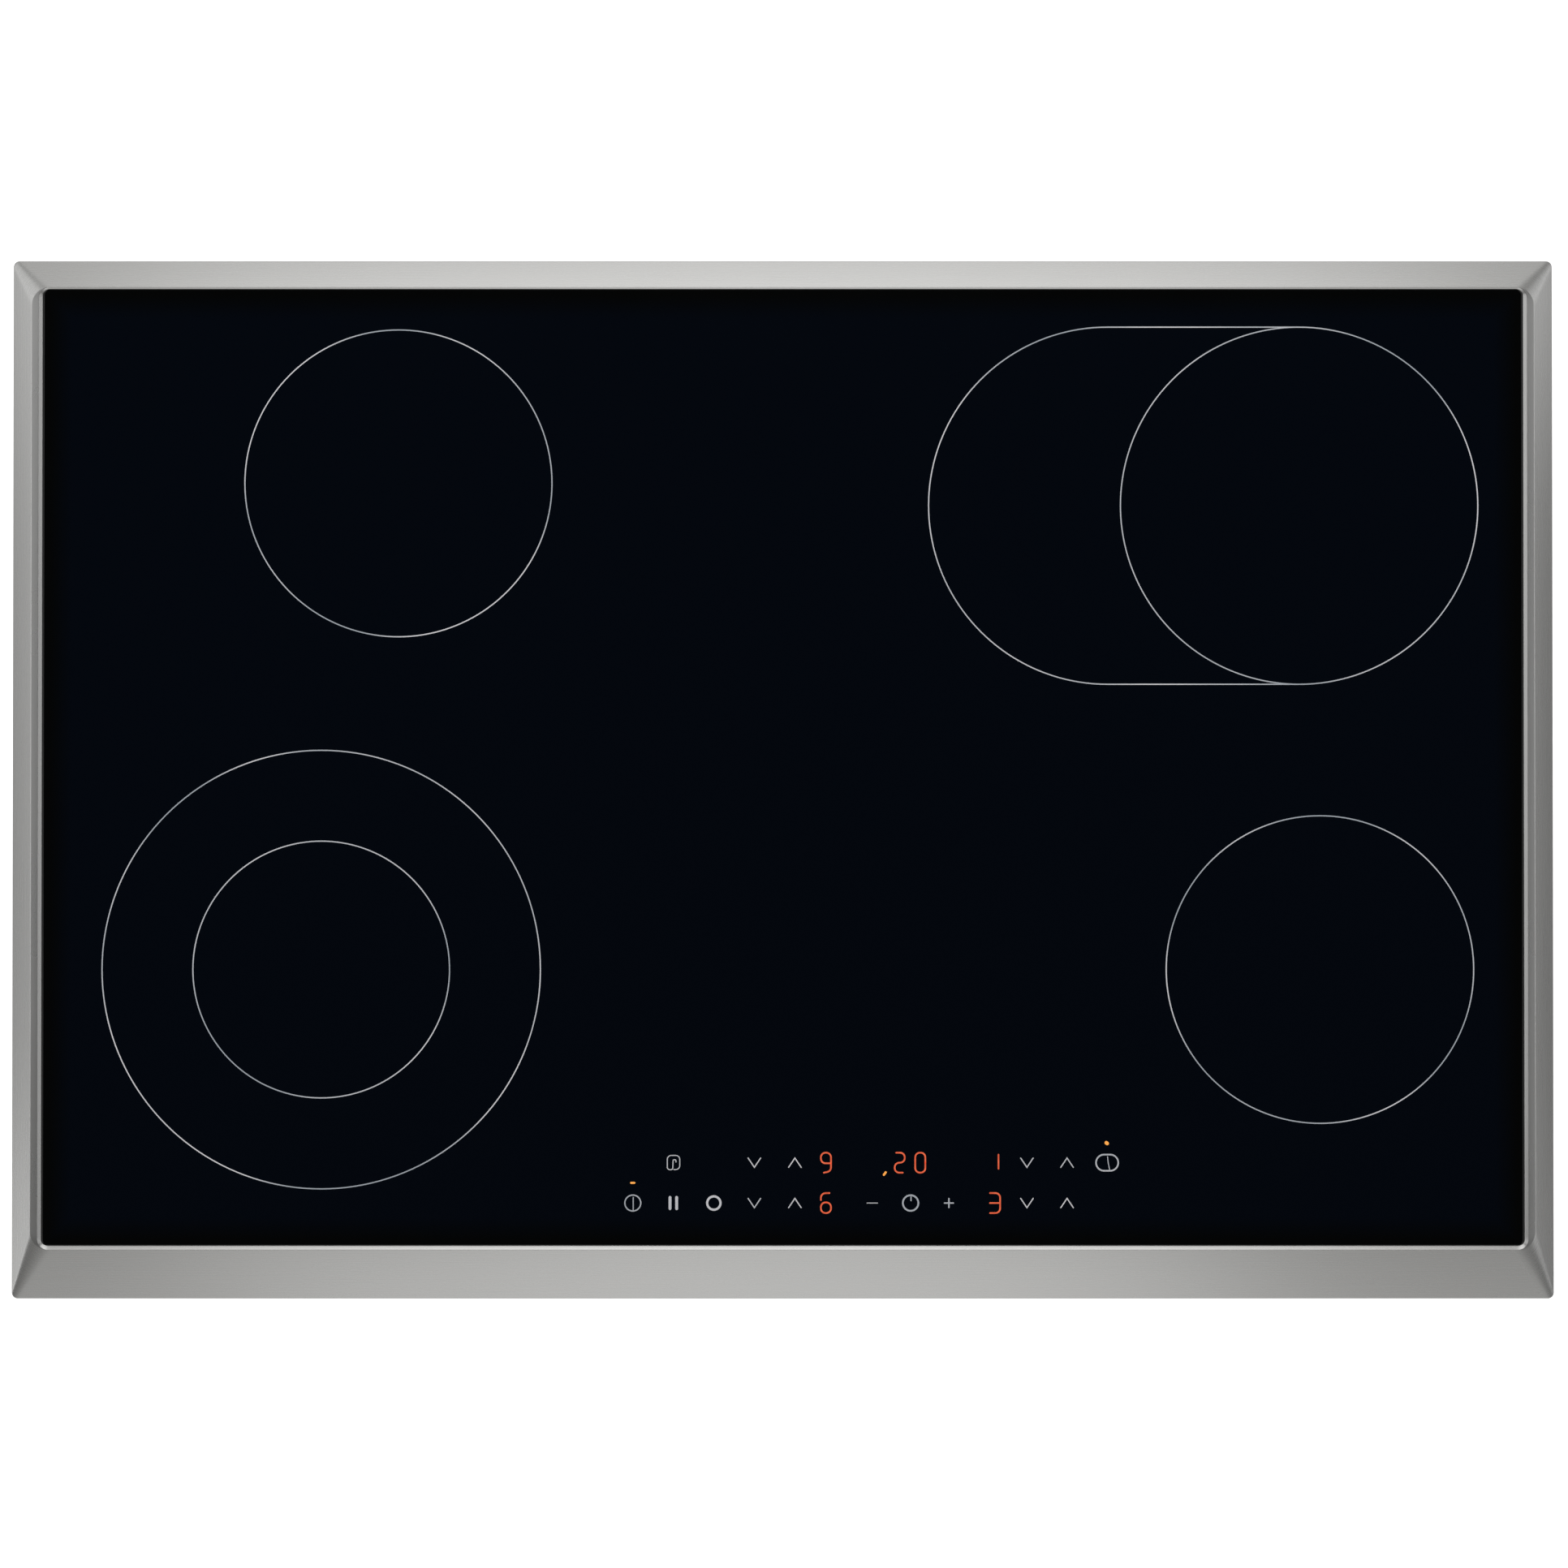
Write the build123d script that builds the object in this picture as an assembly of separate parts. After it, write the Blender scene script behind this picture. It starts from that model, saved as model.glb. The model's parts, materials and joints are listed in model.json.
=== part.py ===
from build123d import *
import os
from math import cos, radians, sin
from typing import NamedTuple

# Built-in electric cooktop with four radiant zones.
# A black glass-ceramic panel is bonded into a bevelled stainless frame. A pressed tray hangs under the frame
# and holds the heaters, the touch control and the mains terminals. Swivelling clamps grip the worktop.
# +X is the cook's right, +Y the back, +Z up. The origin is the frame's middle on the worktop's surface.
# All sizes are millimetres.

# Trim frame: one stainless sheet, folded under at its outer edge and down to a ledge at the glass
FRAME_WIDTH = 766.0
FRAME_DEPTH = 516.0
SIDE_RAIL = 15.0  # outer edge to glass opening, seen from above
FRONT_RAIL = 26.0
REAR_RAIL = 14.0
SIDE_BEVEL = 9.4  # the sloping outer part of each rail
FRONT_BEVEL = 23.0
REAR_BEVEL = 12.2
FRAME_CORNER = 3.0
BEVEL_CORNER = 3.0
OPENING_CORNER = 3.2
FRAME_SHEET = 0.8
FRAME_LIP = 1.8  # upright outer edge
BEVEL_RISE = 3.6
RIM_FOLD_RADIUS = 2.0  # soft fold between bevel and rim
RIM_EDGE_RADIUS = 0.5
RETURN_FLANGE = 7.0
LEDGE_WIDTH = 10.0

# Foam gasket between frame and worktop
GASKET_THICKNESS = 1.2
GASKET_WIDTH = 6.0
GASKET_INSET = 0.5

# Glass-ceramic panel and the silicone that bonds it
GLASS_THICKNESS = 4.0
GLASS_BELOW_RIM = 0.4
GLASS_GAP = 0.6
GLASS_CHAMFER = 0.4
SEALANT_BED = 0.8
SEALANT_BED_WIDTH = 8.0
SEALANT_BELOW_GLASS_TOP = 0.5

# Tray: galvanised sheet under the ledge
TRAY_DEPTH = 38.0  # below the worktop's surface
TRAY_SHEET = 0.8
TRAY_FLANGE = 9.4
TRAY_FLANGE_GAP = 0.6
TRAY_CORNER = 8.0
TRAY_BASE_RADIUS = 4.0
BEAD_WIDTH = 10.0
BEAD_HEIGHT = 1.6
BEAD_FROM_SIDE = 28.0
BEAD_PITCH = 32.0
BEAD_COUNT = 2
BEADS_FROM_MIDDLE = 18.0  # behind the tray's middle
VENT_LENGTH = 22.0
VENT_WIDTH = 3.0
VENT_PITCH = 9.0
VENT_COUNT = 8
VENT_FROM_CONTROL = 11.0
VENT_ROW_SPACING = 146.0

# Screws from the tray's flange up into the ledge
TRAY_SCREW_RADIUS = 1.7
TRAY_SCREW_HEAD_RADIUS = 3.4
TRAY_SCREW_HEAD_HEIGHT = 2.2
TRAY_SCREW_COUNT_LONG = 4  # on each long side
TRAY_SCREW_COUNT_SHORT = 3
SCREW_CLEARANCE = 0.1

# Worktop clamps, under stepped-in corners of the tray
POCKET_WIDTH = 26.0
POCKET_LENGTH = 72.0
POCKET_HEIGHT = 13.0
POCKET_CORNER = 4.0
CLAMP_WIDTH = 16.0
CLAMP_SHEET = 2.0
CLAMP_REACH = 44.0  # pivot to tip
CLAMP_STEP = 4.0  # height of the Z-fold
CLAMP_STEP_AT = 12.0
CLAMP_BEND = 2.5
CLAMP_GAP = 0.5
CLAMP_PIVOT_INSET = 12.0  # from the tray's side
CLAMP_PIVOT_FROM_END = 18.0
CLAMP_SCREW_RADIUS = 2.0
CLAMP_HOLE_CLEARANCE = 0.3
CLAMP_SCREW_HEAD_RADIUS = 4.0
CLAMP_SCREW_HEAD_HEIGHT = 3.0
CLAMP_TRAVEL = 12.0
COLLAR_RADIUS = 3.2  # keeps the clamp on its screw
COLLAR_HEIGHT = 0.8
NUT_WIDTH = 7.0
NUT_HEIGHT = 3.2
RUNNING_CLEARANCE = 0.06
SEAT_CLEARANCE = 0.1

# Cooking zones: heated radius, then the gaps from the heater's dish to the tray's side and end walls
REAR_LEFT_RADIUS = 72.5
REAR_LEFT_SIDE_GAP = 86.2
REAR_LEFT_END_GAP = 6.2
FRONT_LEFT_RADIUS = 105.0
FRONT_LEFT_INNER_RADIUS = 60.0  # the small circuit of the double zone
FRONT_LEFT_SIDE_GAP = 14.7
FRONT_LEFT_END_GAP = 14.2
REAR_RIGHT_RADIUS = 85.0
REAR_RIGHT_REACH = 95.4  # how far the oval zone extends to the left
REAR_RIGHT_SIDE_GAP = 8.1
REAR_RIGHT_END_GAP = 4.8
REAR_RIGHT_HEAD_ANGLE = 225.0  # the limiter leaves the oval heater slantwise, towards the front
FRONT_RIGHT_RADIUS = 72.5
FRONT_RIGHT_SIDE_GAP = 10.6
FRONT_RIGHT_END_GAP = 46.7

# Radiant heaters
DISH_MARGIN = 7.5  # dish wall outside the heated radius
DISH_SHEET = 0.6
DISH_BELOW_GLASS = 1.5
DISH_HEIGHT = 23.7
DISH_BASE_BEVEL = 3.0
BASE_THICKNESS = 13.0
DIVIDER_THICKNESS = 6.0
RIBBON_THICKNESS = 1.0
RIBBON_HEIGHT = 5.0
RIBBON_PITCH = 12.0
RIBBON_WALL_GAP = 7.0
RIBBON_GAP_ANGLE = 12.0
CRESCENT_ANGLE = 75.0
CRESCENT_TURNS = 3
TUBE_RADIUS = 2.75
TUBE_BELOW_GLASS = 3.4
TUBE_SLOT_CLEARANCE = 0.4
TUBE_SEAT = 4.0  # how far the tube's far end lies in the insulating wall
HEAD_LENGTH = 30.0
HEAD_WIDTH = 24.0
HEAD_HEIGHT = 15.0
HEAD_BELOW_GLASS = 1.2
HEAD_STEP_LENGTH = 10.0
HEAD_STEP_HEIGHT = 3.75
HEAD_GAP = 0.4
TAB_WIDTH = 6.3
TAB_SHEET = 0.8
TAB_LENGTH = 8.0
TAB_COUNT = 3

# Leaf springs that press the heaters and the control against the glass
SPRING_LENGTH = 64.0
SPRING_CROWN = 18.0
SPRING_FOOT = 10.0
SPRING_WIDTH = 12.0
SPRING_SHEET = 0.8
SPRING_BEND = 4.0
SPRING_SPREAD = 0.45  # share of a heater's radius from its middle to each spring

# Touch control
CONTROL_X = 43.0
CONTROL_WIDTH = 292.0
CONTROL_DEPTH = 50.0
CONTROL_HEIGHT = 26.0
CONTROL_WALL = 1.8
CONTROL_FRONT_GAP = 1.2
CONTROL_CORNER = 4.0
CONTROL_SLOT_LENGTH = 25.0
CONTROL_SLOT_WIDTH = 3.0
CONTROL_SLOT_COUNT = 12
CONTROL_SLOT_PITCH = 20.0
CONTROL_SPRING_SPACING = 194.0
BOARD_THICKNESS = 1.6
BOARD_GAP = 0.6
BOSS_RADIUS = 3.0
BOSS_INSET = 6.0
KEY_RADIUS = 5.5
KEY_PITCH = 19.8
ROW_PITCH = 19.8
FRONT_ROW_FROM_GLASS = 21.7  # front row of keys to the opening's front edge
LEFT_COLUMN = -74.7  # first key of the left group, from the glass's middle
RIGHT_COLUMN = 121.1
TIMER_X = 63.4
TIMER_PITCH = 19.0
DIGITS_LEFT = 21.4
DIGITS_RIGHT = 105.3
DIGIT_WIDTH = 10.0
DIGIT_DEPTH = 14.0
DIGIT_HEIGHT = 8.6
TIMER_WIDTH = 22.0
LAMP_WIDTH = 3.0
LAMP_DEPTH = 1.6
TIMER_LAMP_X = 50.6
TIMER_LAMP_BEFORE_ROW = 5.0
OVAL_LAMP_BEHIND_ROW = 9.9
RELAY_WIDTH = 29.0
RELAY_DEPTH = 12.7
RELAY_HEIGHT = 12.6
RELAY_PITCH = 36.0
RELAY_COUNT = 7
TRANSFORMER_WIDTH = 32.0
TRANSFORMER_DEPTH = 20.0
TRANSFORMER_HEIGHT = 12.0
TRANSFORMER_X = 60.0

# Mains terminals at the back
TERMINAL_X = -20.0
BOX_WIDTH = 96.0
BOX_DEPTH = 54.0
BOX_HEIGHT = 27.0
BOX_WALL = 2.0
BOX_FLANGE = 4.0
BOX_HOLE_CLEARANCE = 0.3
BOX_ABOVE_BASE = 0.2
COVER_THICKNESS = 2.0
COVER_GAP = 0.5
COVER_RECESS = 0.1  # above the tray's underside
COVER_BARREL_RADIUS = 2.2
COVER_PIN_RADIUS = 1.5
COVER_PIN_LENGTH = 1.6
BLOCK_WIDTH = 72.0
BLOCK_DEPTH = 20.0
BLOCK_HEIGHT = 13.0
BLOCK_FROM_HINGE = 8.0
CONTACT_COUNT = 6
CONTACT_PITCH = 11.5
CONTACT_WIDTH = 7.0
CONTACT_HEIGHT = 1.6
TERMINAL_SCREW_RADIUS = 2.6
TERMINAL_SCREW_HEIGHT = 2.0
GLAND_X = 18.0  # from the box's middle
GLAND_BORE = 5.5
GLAND_WALL = 2.0
GLAND_FLANGE = 2.0
GLAND_FLANGE_LENGTH = 2.5
GLAND_INSIDE = 2.0
GLAND_ABOVE_BASE = 14.0
CORD_BAR_WIDTH = 28.0
CORD_BAR_DEPTH = 8.0
CORD_BAR_THICKNESS = 2.5
CORD_BAR_FROM_REAR = 9.0
CORD_SCREW_SPACING = 19.0
CORD_SCREW_RADIUS = 1.6
CORD_SCREW_HEAD_RADIUS = 2.8
CORD_SCREW_HEAD_HEIGHT = 2.0
CORD_POST_RADIUS = 3.4

# Inner wiring
WIRE_RADIUS = 2.5
WIRE_ABOVE_FLOOR = 4.5
WIRE_BEND = 8.0
WIRE_EXIT = 14.0  # straight length before a loom dips to the floor
WIRE_DIP = 30.0  # length of the dip
FRONT_LOOM_TURN = 21.0  # from a heater's tabs sideways to its loom
REAR_LEFT_LOOM_TURN = 32.0
REAR_RIGHT_LOOM_TURN = 27.0
MAINS_LOOM_GAP = 20.0  # between the mains loom and the rear left one


class Outline(NamedTuple):
    """A rounded rectangle seen from above."""

    half_width: float
    front: float
    rear: float
    corner: float

    def grown(self, by, corner=None):
        """The same outline moved outwards by a distance, or inwards if it is negative."""
        radius = self.corner + by if corner is None else corner
        return Outline(self.half_width + by, self.front - by, self.rear + by, radius)

    def inset(self, side, front, rear, corner):
        """An outline inside this one, with a margin of its own at the sides, the front and the back."""
        return Outline(self.half_width - side, self.front + front, self.rear - rear, corner)

    def sketch(self):
        middle = (self.front + self.rear) / 2
        return Pos(0, middle) * RectangleRounded(2 * self.half_width, self.rear - self.front, self.corner)


class Zone(NamedTuple):
    """One heater: its middle, heated radius, inner circuit's radius, reach to the left and limiter's side."""

    name: str
    x: float
    y: float
    radius: float
    inner_radius: float
    reach: float
    head_angle: float

    def sketch(self, radius):
        """A circle about the heater's middle, or a slot that reaches to the left on the oval one."""
        if self.reach:
            return Pos(self.x - self.reach / 2, self.y) * SlotCenterToCenter(self.reach, 2 * radius)
        return Pos(self.x, self.y) * Circle(radius)

    def place(self):
        """Local X runs from the heater's middle to its limiter head."""
        return Pos(self.x, self.y) * Rot(0, 0, self.head_angle)

    def head_start(self):
        """Where the limiter head begins along local X: just clear of the dish's wall, also where it slants."""
        dish = self.radius + DISH_MARGIN
        if not self.reach:
            return dish + HEAD_GAP
        slope, rise = abs(cos(radians(self.head_angle))), abs(sin(radians(self.head_angle)))
        return (dish + slope * HEAD_WIDTH / 2) / rise + HEAD_GAP


def slab(sketch, low, high):
    """A sketch made solid between two heights."""
    return extrude(Plane.XY.offset(low) * sketch, amount=high - low)


def box(x0, x1, y0, y1, z0, z1):
    """A block between six planes."""
    size = Box(x1 - x0, y1 - y0, z1 - z0)
    return Pos((x0 + x1) / 2, (y0 + y1) / 2, (z0 + z1) / 2) * size


def post(x, y, low, high, radius):
    """An upright round bar."""
    return slab(Pos(x, y) * Circle(radius), low, high)


# Heights, from the worktop's surface
frame_base = GASKET_THICKNESS
lip_top = frame_base + FRAME_LIP
frame_top = lip_top + BEVEL_RISE
glass_top = frame_top - GLASS_BELOW_RIM
glass_base = glass_top - GLASS_THICKNESS
ledge_top = glass_base - SEALANT_BED
ledge_base = ledge_top - FRAME_SHEET
flange_base = ledge_base - TRAY_SHEET
tray_base = -TRAY_DEPTH
floor_top = tray_base + TRAY_SHEET
pocket_roof = tray_base + POCKET_HEIGHT
dish_top = glass_base - DISH_BELOW_GLASS
dish_base = dish_top - DISH_HEIGHT
ribbon_base = dish_base + DISH_SHEET + BASE_THICKNESS
tube_z = glass_base - TUBE_BELOW_GLASS
board_top = glass_base - DIGIT_HEIGHT
board_base = board_top - BOARD_THICKNESS
control_base = glass_base - CONTROL_HEIGHT
box_base = tray_base + BOX_ABOVE_BASE
box_top = box_base + BOX_HEIGHT

# Outlines, from above
frame_edge = Outline(FRAME_WIDTH / 2, -FRAME_DEPTH / 2, FRAME_DEPTH / 2, FRAME_CORNER)
opening = frame_edge.inset(SIDE_RAIL, FRONT_RAIL, REAR_RAIL, OPENING_CORNER)
rim = frame_edge.inset(SIDE_BEVEL, FRONT_BEVEL, REAR_BEVEL, BEVEL_CORNER)
glass_edge = opening.grown(-GLASS_GAP)
flange_edge = opening.grown(-TRAY_FLANGE_GAP)
tray_edge = flange_edge.grown(-TRAY_FLANGE, TRAY_CORNER)
tray_inside = tray_edge.grown(-TRAY_SHEET)


def zone(name, side, side_gap, end, end_gap, radius):
    """A round heater in a corner of the tray, with its limiter head towards the tray's middle."""
    dish = radius + DISH_MARGIN
    x = side * (tray_inside.half_width - side_gap - dish)
    wall = tray_inside.rear if end > 0 else tray_inside.front
    return Zone(name, x, wall - end * (end_gap + dish), radius, 0, 0, 180 if side > 0 else 0)


rear_left = zone("rear_left", -1, REAR_LEFT_SIDE_GAP, 1, REAR_LEFT_END_GAP, REAR_LEFT_RADIUS)
front_left = zone("front_left", -1, FRONT_LEFT_SIDE_GAP, -1, FRONT_LEFT_END_GAP, FRONT_LEFT_RADIUS)
front_left = front_left._replace(inner_radius=FRONT_LEFT_INNER_RADIUS)
rear_right = zone("rear_right", 1, REAR_RIGHT_SIDE_GAP, 1, REAR_RIGHT_END_GAP, REAR_RIGHT_RADIUS)
rear_right = rear_right._replace(inner_radius=REAR_RIGHT_RADIUS, reach=REAR_RIGHT_REACH)
rear_right = rear_right._replace(head_angle=REAR_RIGHT_HEAD_ANGLE)
front_right = zone("front_right", 1, FRONT_RIGHT_SIDE_GAP, -1, FRONT_RIGHT_END_GAP, FRONT_RIGHT_RADIUS)
zones = (rear_left, front_left, rear_right, front_right)


# Frame, gasket, glass and sealant


def make_trim_frame():
    """The bevelled shell, hollow below, with its folded edge, upright wall and glass ledge."""
    wall = opening.grown(FRAME_SHEET)
    shell = frame_crown() - frame_hollow() - slab(wall.sketch(), frame_base, frame_top)
    upright = slab(wall.sketch() - opening.sketch(), ledge_base, frame_top)
    rim_edge = upright.faces().sort_by(Axis.Z)[-1].inner_wires()[0]
    upright = fillet(rim_edge.edges(), RIM_EDGE_RADIUS)
    ledge_inside = opening.grown(-LEDGE_WIDTH, TRAY_CORNER)
    ledge = slab(wall.sketch() - ledge_inside.sketch(), ledge_base, ledge_top)
    for x, y in tray_screw_places():
        ledge -= post(x, y, ledge_base, ledge_top, TRAY_SCREW_RADIUS + SCREW_CLEARANCE)
    return shell + upright + ledge


def frame_crown():
    """The frame's outside as a solid: an upright lip, then a bevel of another width on each side."""
    lip = slab(frame_edge.sketch(), frame_base, lip_top)
    foot, top = Plane.XY.offset(lip_top), Plane.XY.offset(frame_top)
    bevel = loft([foot * frame_edge.sketch(), top * rim.sketch()], ruled=True)
    crown = lip + bevel
    return fillet(crown.edges().group_by(Axis.Z)[-1], RIM_FOLD_RADIUS)


def frame_hollow():
    """The room under the sheet, open below inside the folded flange."""
    edge = frame_edge.grown(-FRAME_SHEET)
    floor, side, top = frame_base + FRAME_SHEET, lip_top - FRAME_SHEET, frame_top - FRAME_SHEET
    room = loft([Plane.XY.offset(side) * edge.sketch(), Plane.XY.offset(top) * rim.sketch()], ruled=True)
    room += slab(edge.sketch(), floor, side)
    mouth = frame_edge.grown(-RETURN_FLANGE, FRAME_CORNER)
    return room + slab(mouth.sketch(), frame_base, floor)


def make_gasket():
    outer = frame_edge.grown(-GASKET_INSET)
    inner = outer.grown(-GASKET_WIDTH, FRAME_CORNER)
    return slab(outer.sketch() - inner.sketch(), 0, GASKET_THICKNESS)


def make_glass():
    panel = slab(glass_edge.sketch(), glass_base, glass_top)
    return chamfer(panel.edges().group_by(Axis.Z)[-1], GLASS_CHAMFER)


def make_sealant():
    """Silicone in the joint round the glass and in a bed under its edge."""
    joint = slab(opening.sketch() - glass_edge.sketch(), ledge_top, glass_top - SEALANT_BELOW_GLASS_TOP)
    bed_inside = glass_edge.grown(-SEALANT_BED_WIDTH, TRAY_CORNER)
    bed = slab(glass_edge.sketch() - bed_inside.sketch(), ledge_top, glass_base)
    return joint + bed


# Tray, its screws and its pockets


def spread(count, low, high):
    """Evenly spaced places with half a space left at each end."""
    step = (high - low) / count
    return [low + step * (i + 0.5) for i in range(count)]


def tray_screw_places():
    """Screw places along the middle of the tray's flange."""
    line = flange_edge.grown(-TRAY_FLANGE / 2, TRAY_CORNER)
    long_side = spread(TRAY_SCREW_COUNT_LONG, -line.half_width, line.half_width)
    short_side = spread(TRAY_SCREW_COUNT_SHORT, line.front, line.rear)
    places = [(x, y) for x in long_side for y in (line.front, line.rear)]
    return places + [(x, y) for y in short_side for x in (-line.half_width, line.half_width)]


def corner_signs():
    """Side and end of each corner, with the name of its clamp."""
    for side, side_name in ((-1, "left"), (1, "right")):
        for end, end_name in ((-1, "front"), (1, "rear")):
            yield side, end, f"{end_name}_{side_name}"


def end_wall(end):
    """Y of the tray's outside at the front or the back."""
    return tray_edge.rear if end > 0 else tray_edge.front


def pocket(side, end, grow):
    """The stepped-in corner that a clamp folds into, or its inner skin when grown by the sheet."""
    plan = RectangleRounded(2 * (POCKET_WIDTH + grow), 2 * (POCKET_LENGTH + grow), POCKET_CORNER + grow)
    return slab(Pos(side * tray_edge.half_width, end_wall(end)) * plan, tray_base, pocket_roof + grow)


def bead(y, grow):
    """A long stiffening bead across the tray, pressed up into the floor."""
    length = 2 * (tray_edge.half_width - BEAD_FROM_SIDE + grow)
    plan = Pos(0, y) * SlotOverall(length, BEAD_WIDTH + 2 * grow)
    return slab(plan, tray_base, tray_base + BEAD_HEIGHT + grow)


def tray_form(edge, base, grow):
    """The tray's outside, or its inside when grown by the sheet: a tub with pockets and beads pressed in."""
    tub = slab(edge.sketch(), base, ledge_base)
    tub = fillet(tub.edges().group_by(Axis.Z)[0], TRAY_BASE_RADIUS - grow)
    for side, end, _ in corner_signs():
        tub -= pocket(side, end, grow)
    for i in range(BEAD_COUNT):
        middle = (tray_edge.front + tray_edge.rear) / 2 + BEADS_FROM_MIDDLE
        tub -= bead(middle + BEAD_PITCH * (i - (BEAD_COUNT - 1) / 2), grow)
    return tub


def vent_slots():
    """Two rows of cooling slots in the floor, beside the control."""
    slots = []
    y = control_rear() + VENT_FROM_CONTROL + VENT_LENGTH / 2
    for row_x in (CONTROL_X - VENT_ROW_SPACING / 2, CONTROL_X + VENT_ROW_SPACING / 2):
        for i in range(VENT_COUNT):
            x = row_x + VENT_PITCH * (i - (VENT_COUNT - 1) / 2)
            plan = Pos(x, y) * Rot(0, 0, 90) * SlotOverall(VENT_LENGTH, VENT_WIDTH)
            slots.append(slab(plan, tray_base, floor_top))
    return slots


def make_tray():
    tray = tray_form(tray_edge, tray_base, 0) - tray_form(tray_inside, floor_top, TRAY_SHEET)
    tray += slab(flange_edge.sketch() - tray_inside.sketch(), flange_base, ledge_base)
    for x, y in tray_screw_places():
        tray -= post(x, y, flange_base, ledge_base, TRAY_SCREW_RADIUS + SCREW_CLEARANCE)
    for side, end, _ in corner_signs():
        x, y = clamp_pivot(side, end)
        tray -= post(x, y, pocket_roof, pocket_roof + TRAY_SHEET, CLAMP_SCREW_RADIUS + CLAMP_HOLE_CLEARANCE)
    hole = terminal_outline().grown(BOX_HOLE_CLEARANCE)
    tray -= Pos(TERMINAL_X, 0) * slab(hole.sketch(), tray_base, floor_top)
    tray -= gland_bar(gland_radius + SCREW_CLEARANCE, tray_inside.rear, tray_edge.rear)
    return tray - vent_slots()


def make_tray_screws():
    screws = []
    for x, y in tray_screw_places():
        head = post(x, y, flange_base - TRAY_SCREW_HEAD_HEIGHT, flange_base, TRAY_SCREW_HEAD_RADIUS)
        screws.append(head + post(x, y, flange_base, ledge_top, TRAY_SCREW_RADIUS))
    return screws


# Worktop clamps


def clamp_pivot(side, end):
    x = side * (tray_edge.half_width - CLAMP_PIVOT_INSET)
    return x, end_wall(end) - end * CLAMP_PIVOT_FROM_END


arm_top = pocket_roof - CLAMP_GAP
arm_base = arm_top - CLAMP_SHEET
foot_top = arm_top - CLAMP_STEP
foot_base = foot_top - CLAMP_SHEET


def make_clamp(side, end):
    """A Z-folded strip: its foot turns on the screw and its raised arm bears on the worktop's underside."""
    half = CLAMP_WIDTH / 2
    low, high = (foot_base + foot_top) / 2, (arm_base + arm_top) / 2
    line = [(-half, low), (CLAMP_STEP_AT, low), (CLAMP_STEP_AT + CLAMP_STEP, high), (CLAMP_REACH, high)]
    strip = folded_strip(line, CLAMP_BEND, CLAMP_SHEET, CLAMP_WIDTH)
    plan = Pos((CLAMP_REACH - half) / 2, 0) * SlotOverall(CLAMP_REACH + half, CLAMP_WIDTH)
    strip &= slab(plan - Circle(CLAMP_SCREW_RADIUS + RUNNING_CLEARANCE), foot_base, arm_top)
    return Pos(*clamp_pivot(side, end)) * Rot(0, 0, -90 * end) * strip


def make_clamp_screw(side, end):
    """A screw with its head below the clamp's foot and a collar above it."""
    x, y = clamp_pivot(side, end)
    head_top = foot_base - SEAT_CLEARANCE
    collar_base = foot_top + SEAT_CLEARANCE
    tip = pocket_roof + TRAY_SHEET + NUT_HEIGHT + CLAMP_TRAVEL
    screw = post(x, y, head_top - CLAMP_SCREW_HEAD_HEIGHT, head_top, CLAMP_SCREW_HEAD_RADIUS)
    screw += post(x, y, head_top, tip, CLAMP_SCREW_RADIUS)
    return screw + post(x, y, collar_base, collar_base + COLLAR_HEIGHT, COLLAR_RADIUS)


def make_clamp_nuts():
    """Weld nuts on the pockets' roofs, inside the tray."""
    low = pocket_roof + TRAY_SHEET
    plan = RegularPolygon(NUT_WIDTH / 2, 6, major_radius=False)
    nut = slab(plan - Circle(CLAMP_SCREW_RADIUS + RUNNING_CLEARANCE), low, low + NUT_HEIGHT)
    return [Pos(*clamp_pivot(side, end)) * nut for side, end, _ in corner_signs()]


# Heaters


def tube_slot(start, end, clearance):
    """A groove along the limiter's tube, round below and open upwards."""
    radius = TUBE_RADIUS + clearance
    groove = Pos((start + end) / 2, 0, tube_z) * Rot(0, 90, 0) * Cylinder(radius, end - start)
    return groove + box(start, end, -radius, radius, tube_z, glass_base)


def make_dish(z):
    """The pressed steel pan, with a slot in its wall for the limiter's tube."""
    outer = z.radius + DISH_MARGIN
    pan = slab(z.sketch(outer), dish_base, dish_top)
    pan = chamfer(pan.edges().group_by(Axis.Z)[0], DISH_BASE_BEVEL)
    inside = slab(z.sketch(outer - DISH_SHEET), dish_base + DISH_SHEET, dish_top)
    inside = chamfer(inside.edges().group_by(Axis.Z)[0], DISH_BASE_BEVEL - DISH_SHEET)
    return pan - inside - z.place() * tube_slot(z.radius, z.head_start(), TUBE_SLOT_CLEARANCE)


def make_insulation_base(z):
    disc = slab(z.sketch(z.radius + DISH_MARGIN - DISH_SHEET), dish_base + DISH_SHEET, ribbon_base)
    return chamfer(disc.edges().group_by(Axis.Z)[0], DISH_BASE_BEVEL - DISH_SHEET)


def make_insulation_wall(z):
    """The fibre wall that meets the glass, with the divider between two circuits."""
    plan = z.sketch(z.radius + DISH_MARGIN - DISH_SHEET) - z.sketch(z.radius)
    if z.inner_radius:
        middle = Pos(z.x, z.y)
        divider = middle * Circle(z.inner_radius + DIVIDER_THICKNESS) - middle * Circle(z.inner_radius)
        plan += divider & z.sketch(z.radius + DISH_SHEET)
    groove = tube_slot(-z.radius - TUBE_SEAT, z.head_start(), 0)
    return slab(plan, ribbon_base, glass_base) - z.place() * groove


def arc_strip(radius, start, end):
    """A strip of the ribbon's thickness along an arc about the origin, between two angles in degrees."""
    half = RIBBON_THICKNESS / 2
    outer = CenterArc((0, 0), radius + half, start, end - start)
    inner = CenterArc((0, 0), radius - half, start, end - start)
    return make_face([outer, inner, Line(outer @ 0, inner @ 0), Line(outer @ 1, inner @ 1)])


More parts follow.
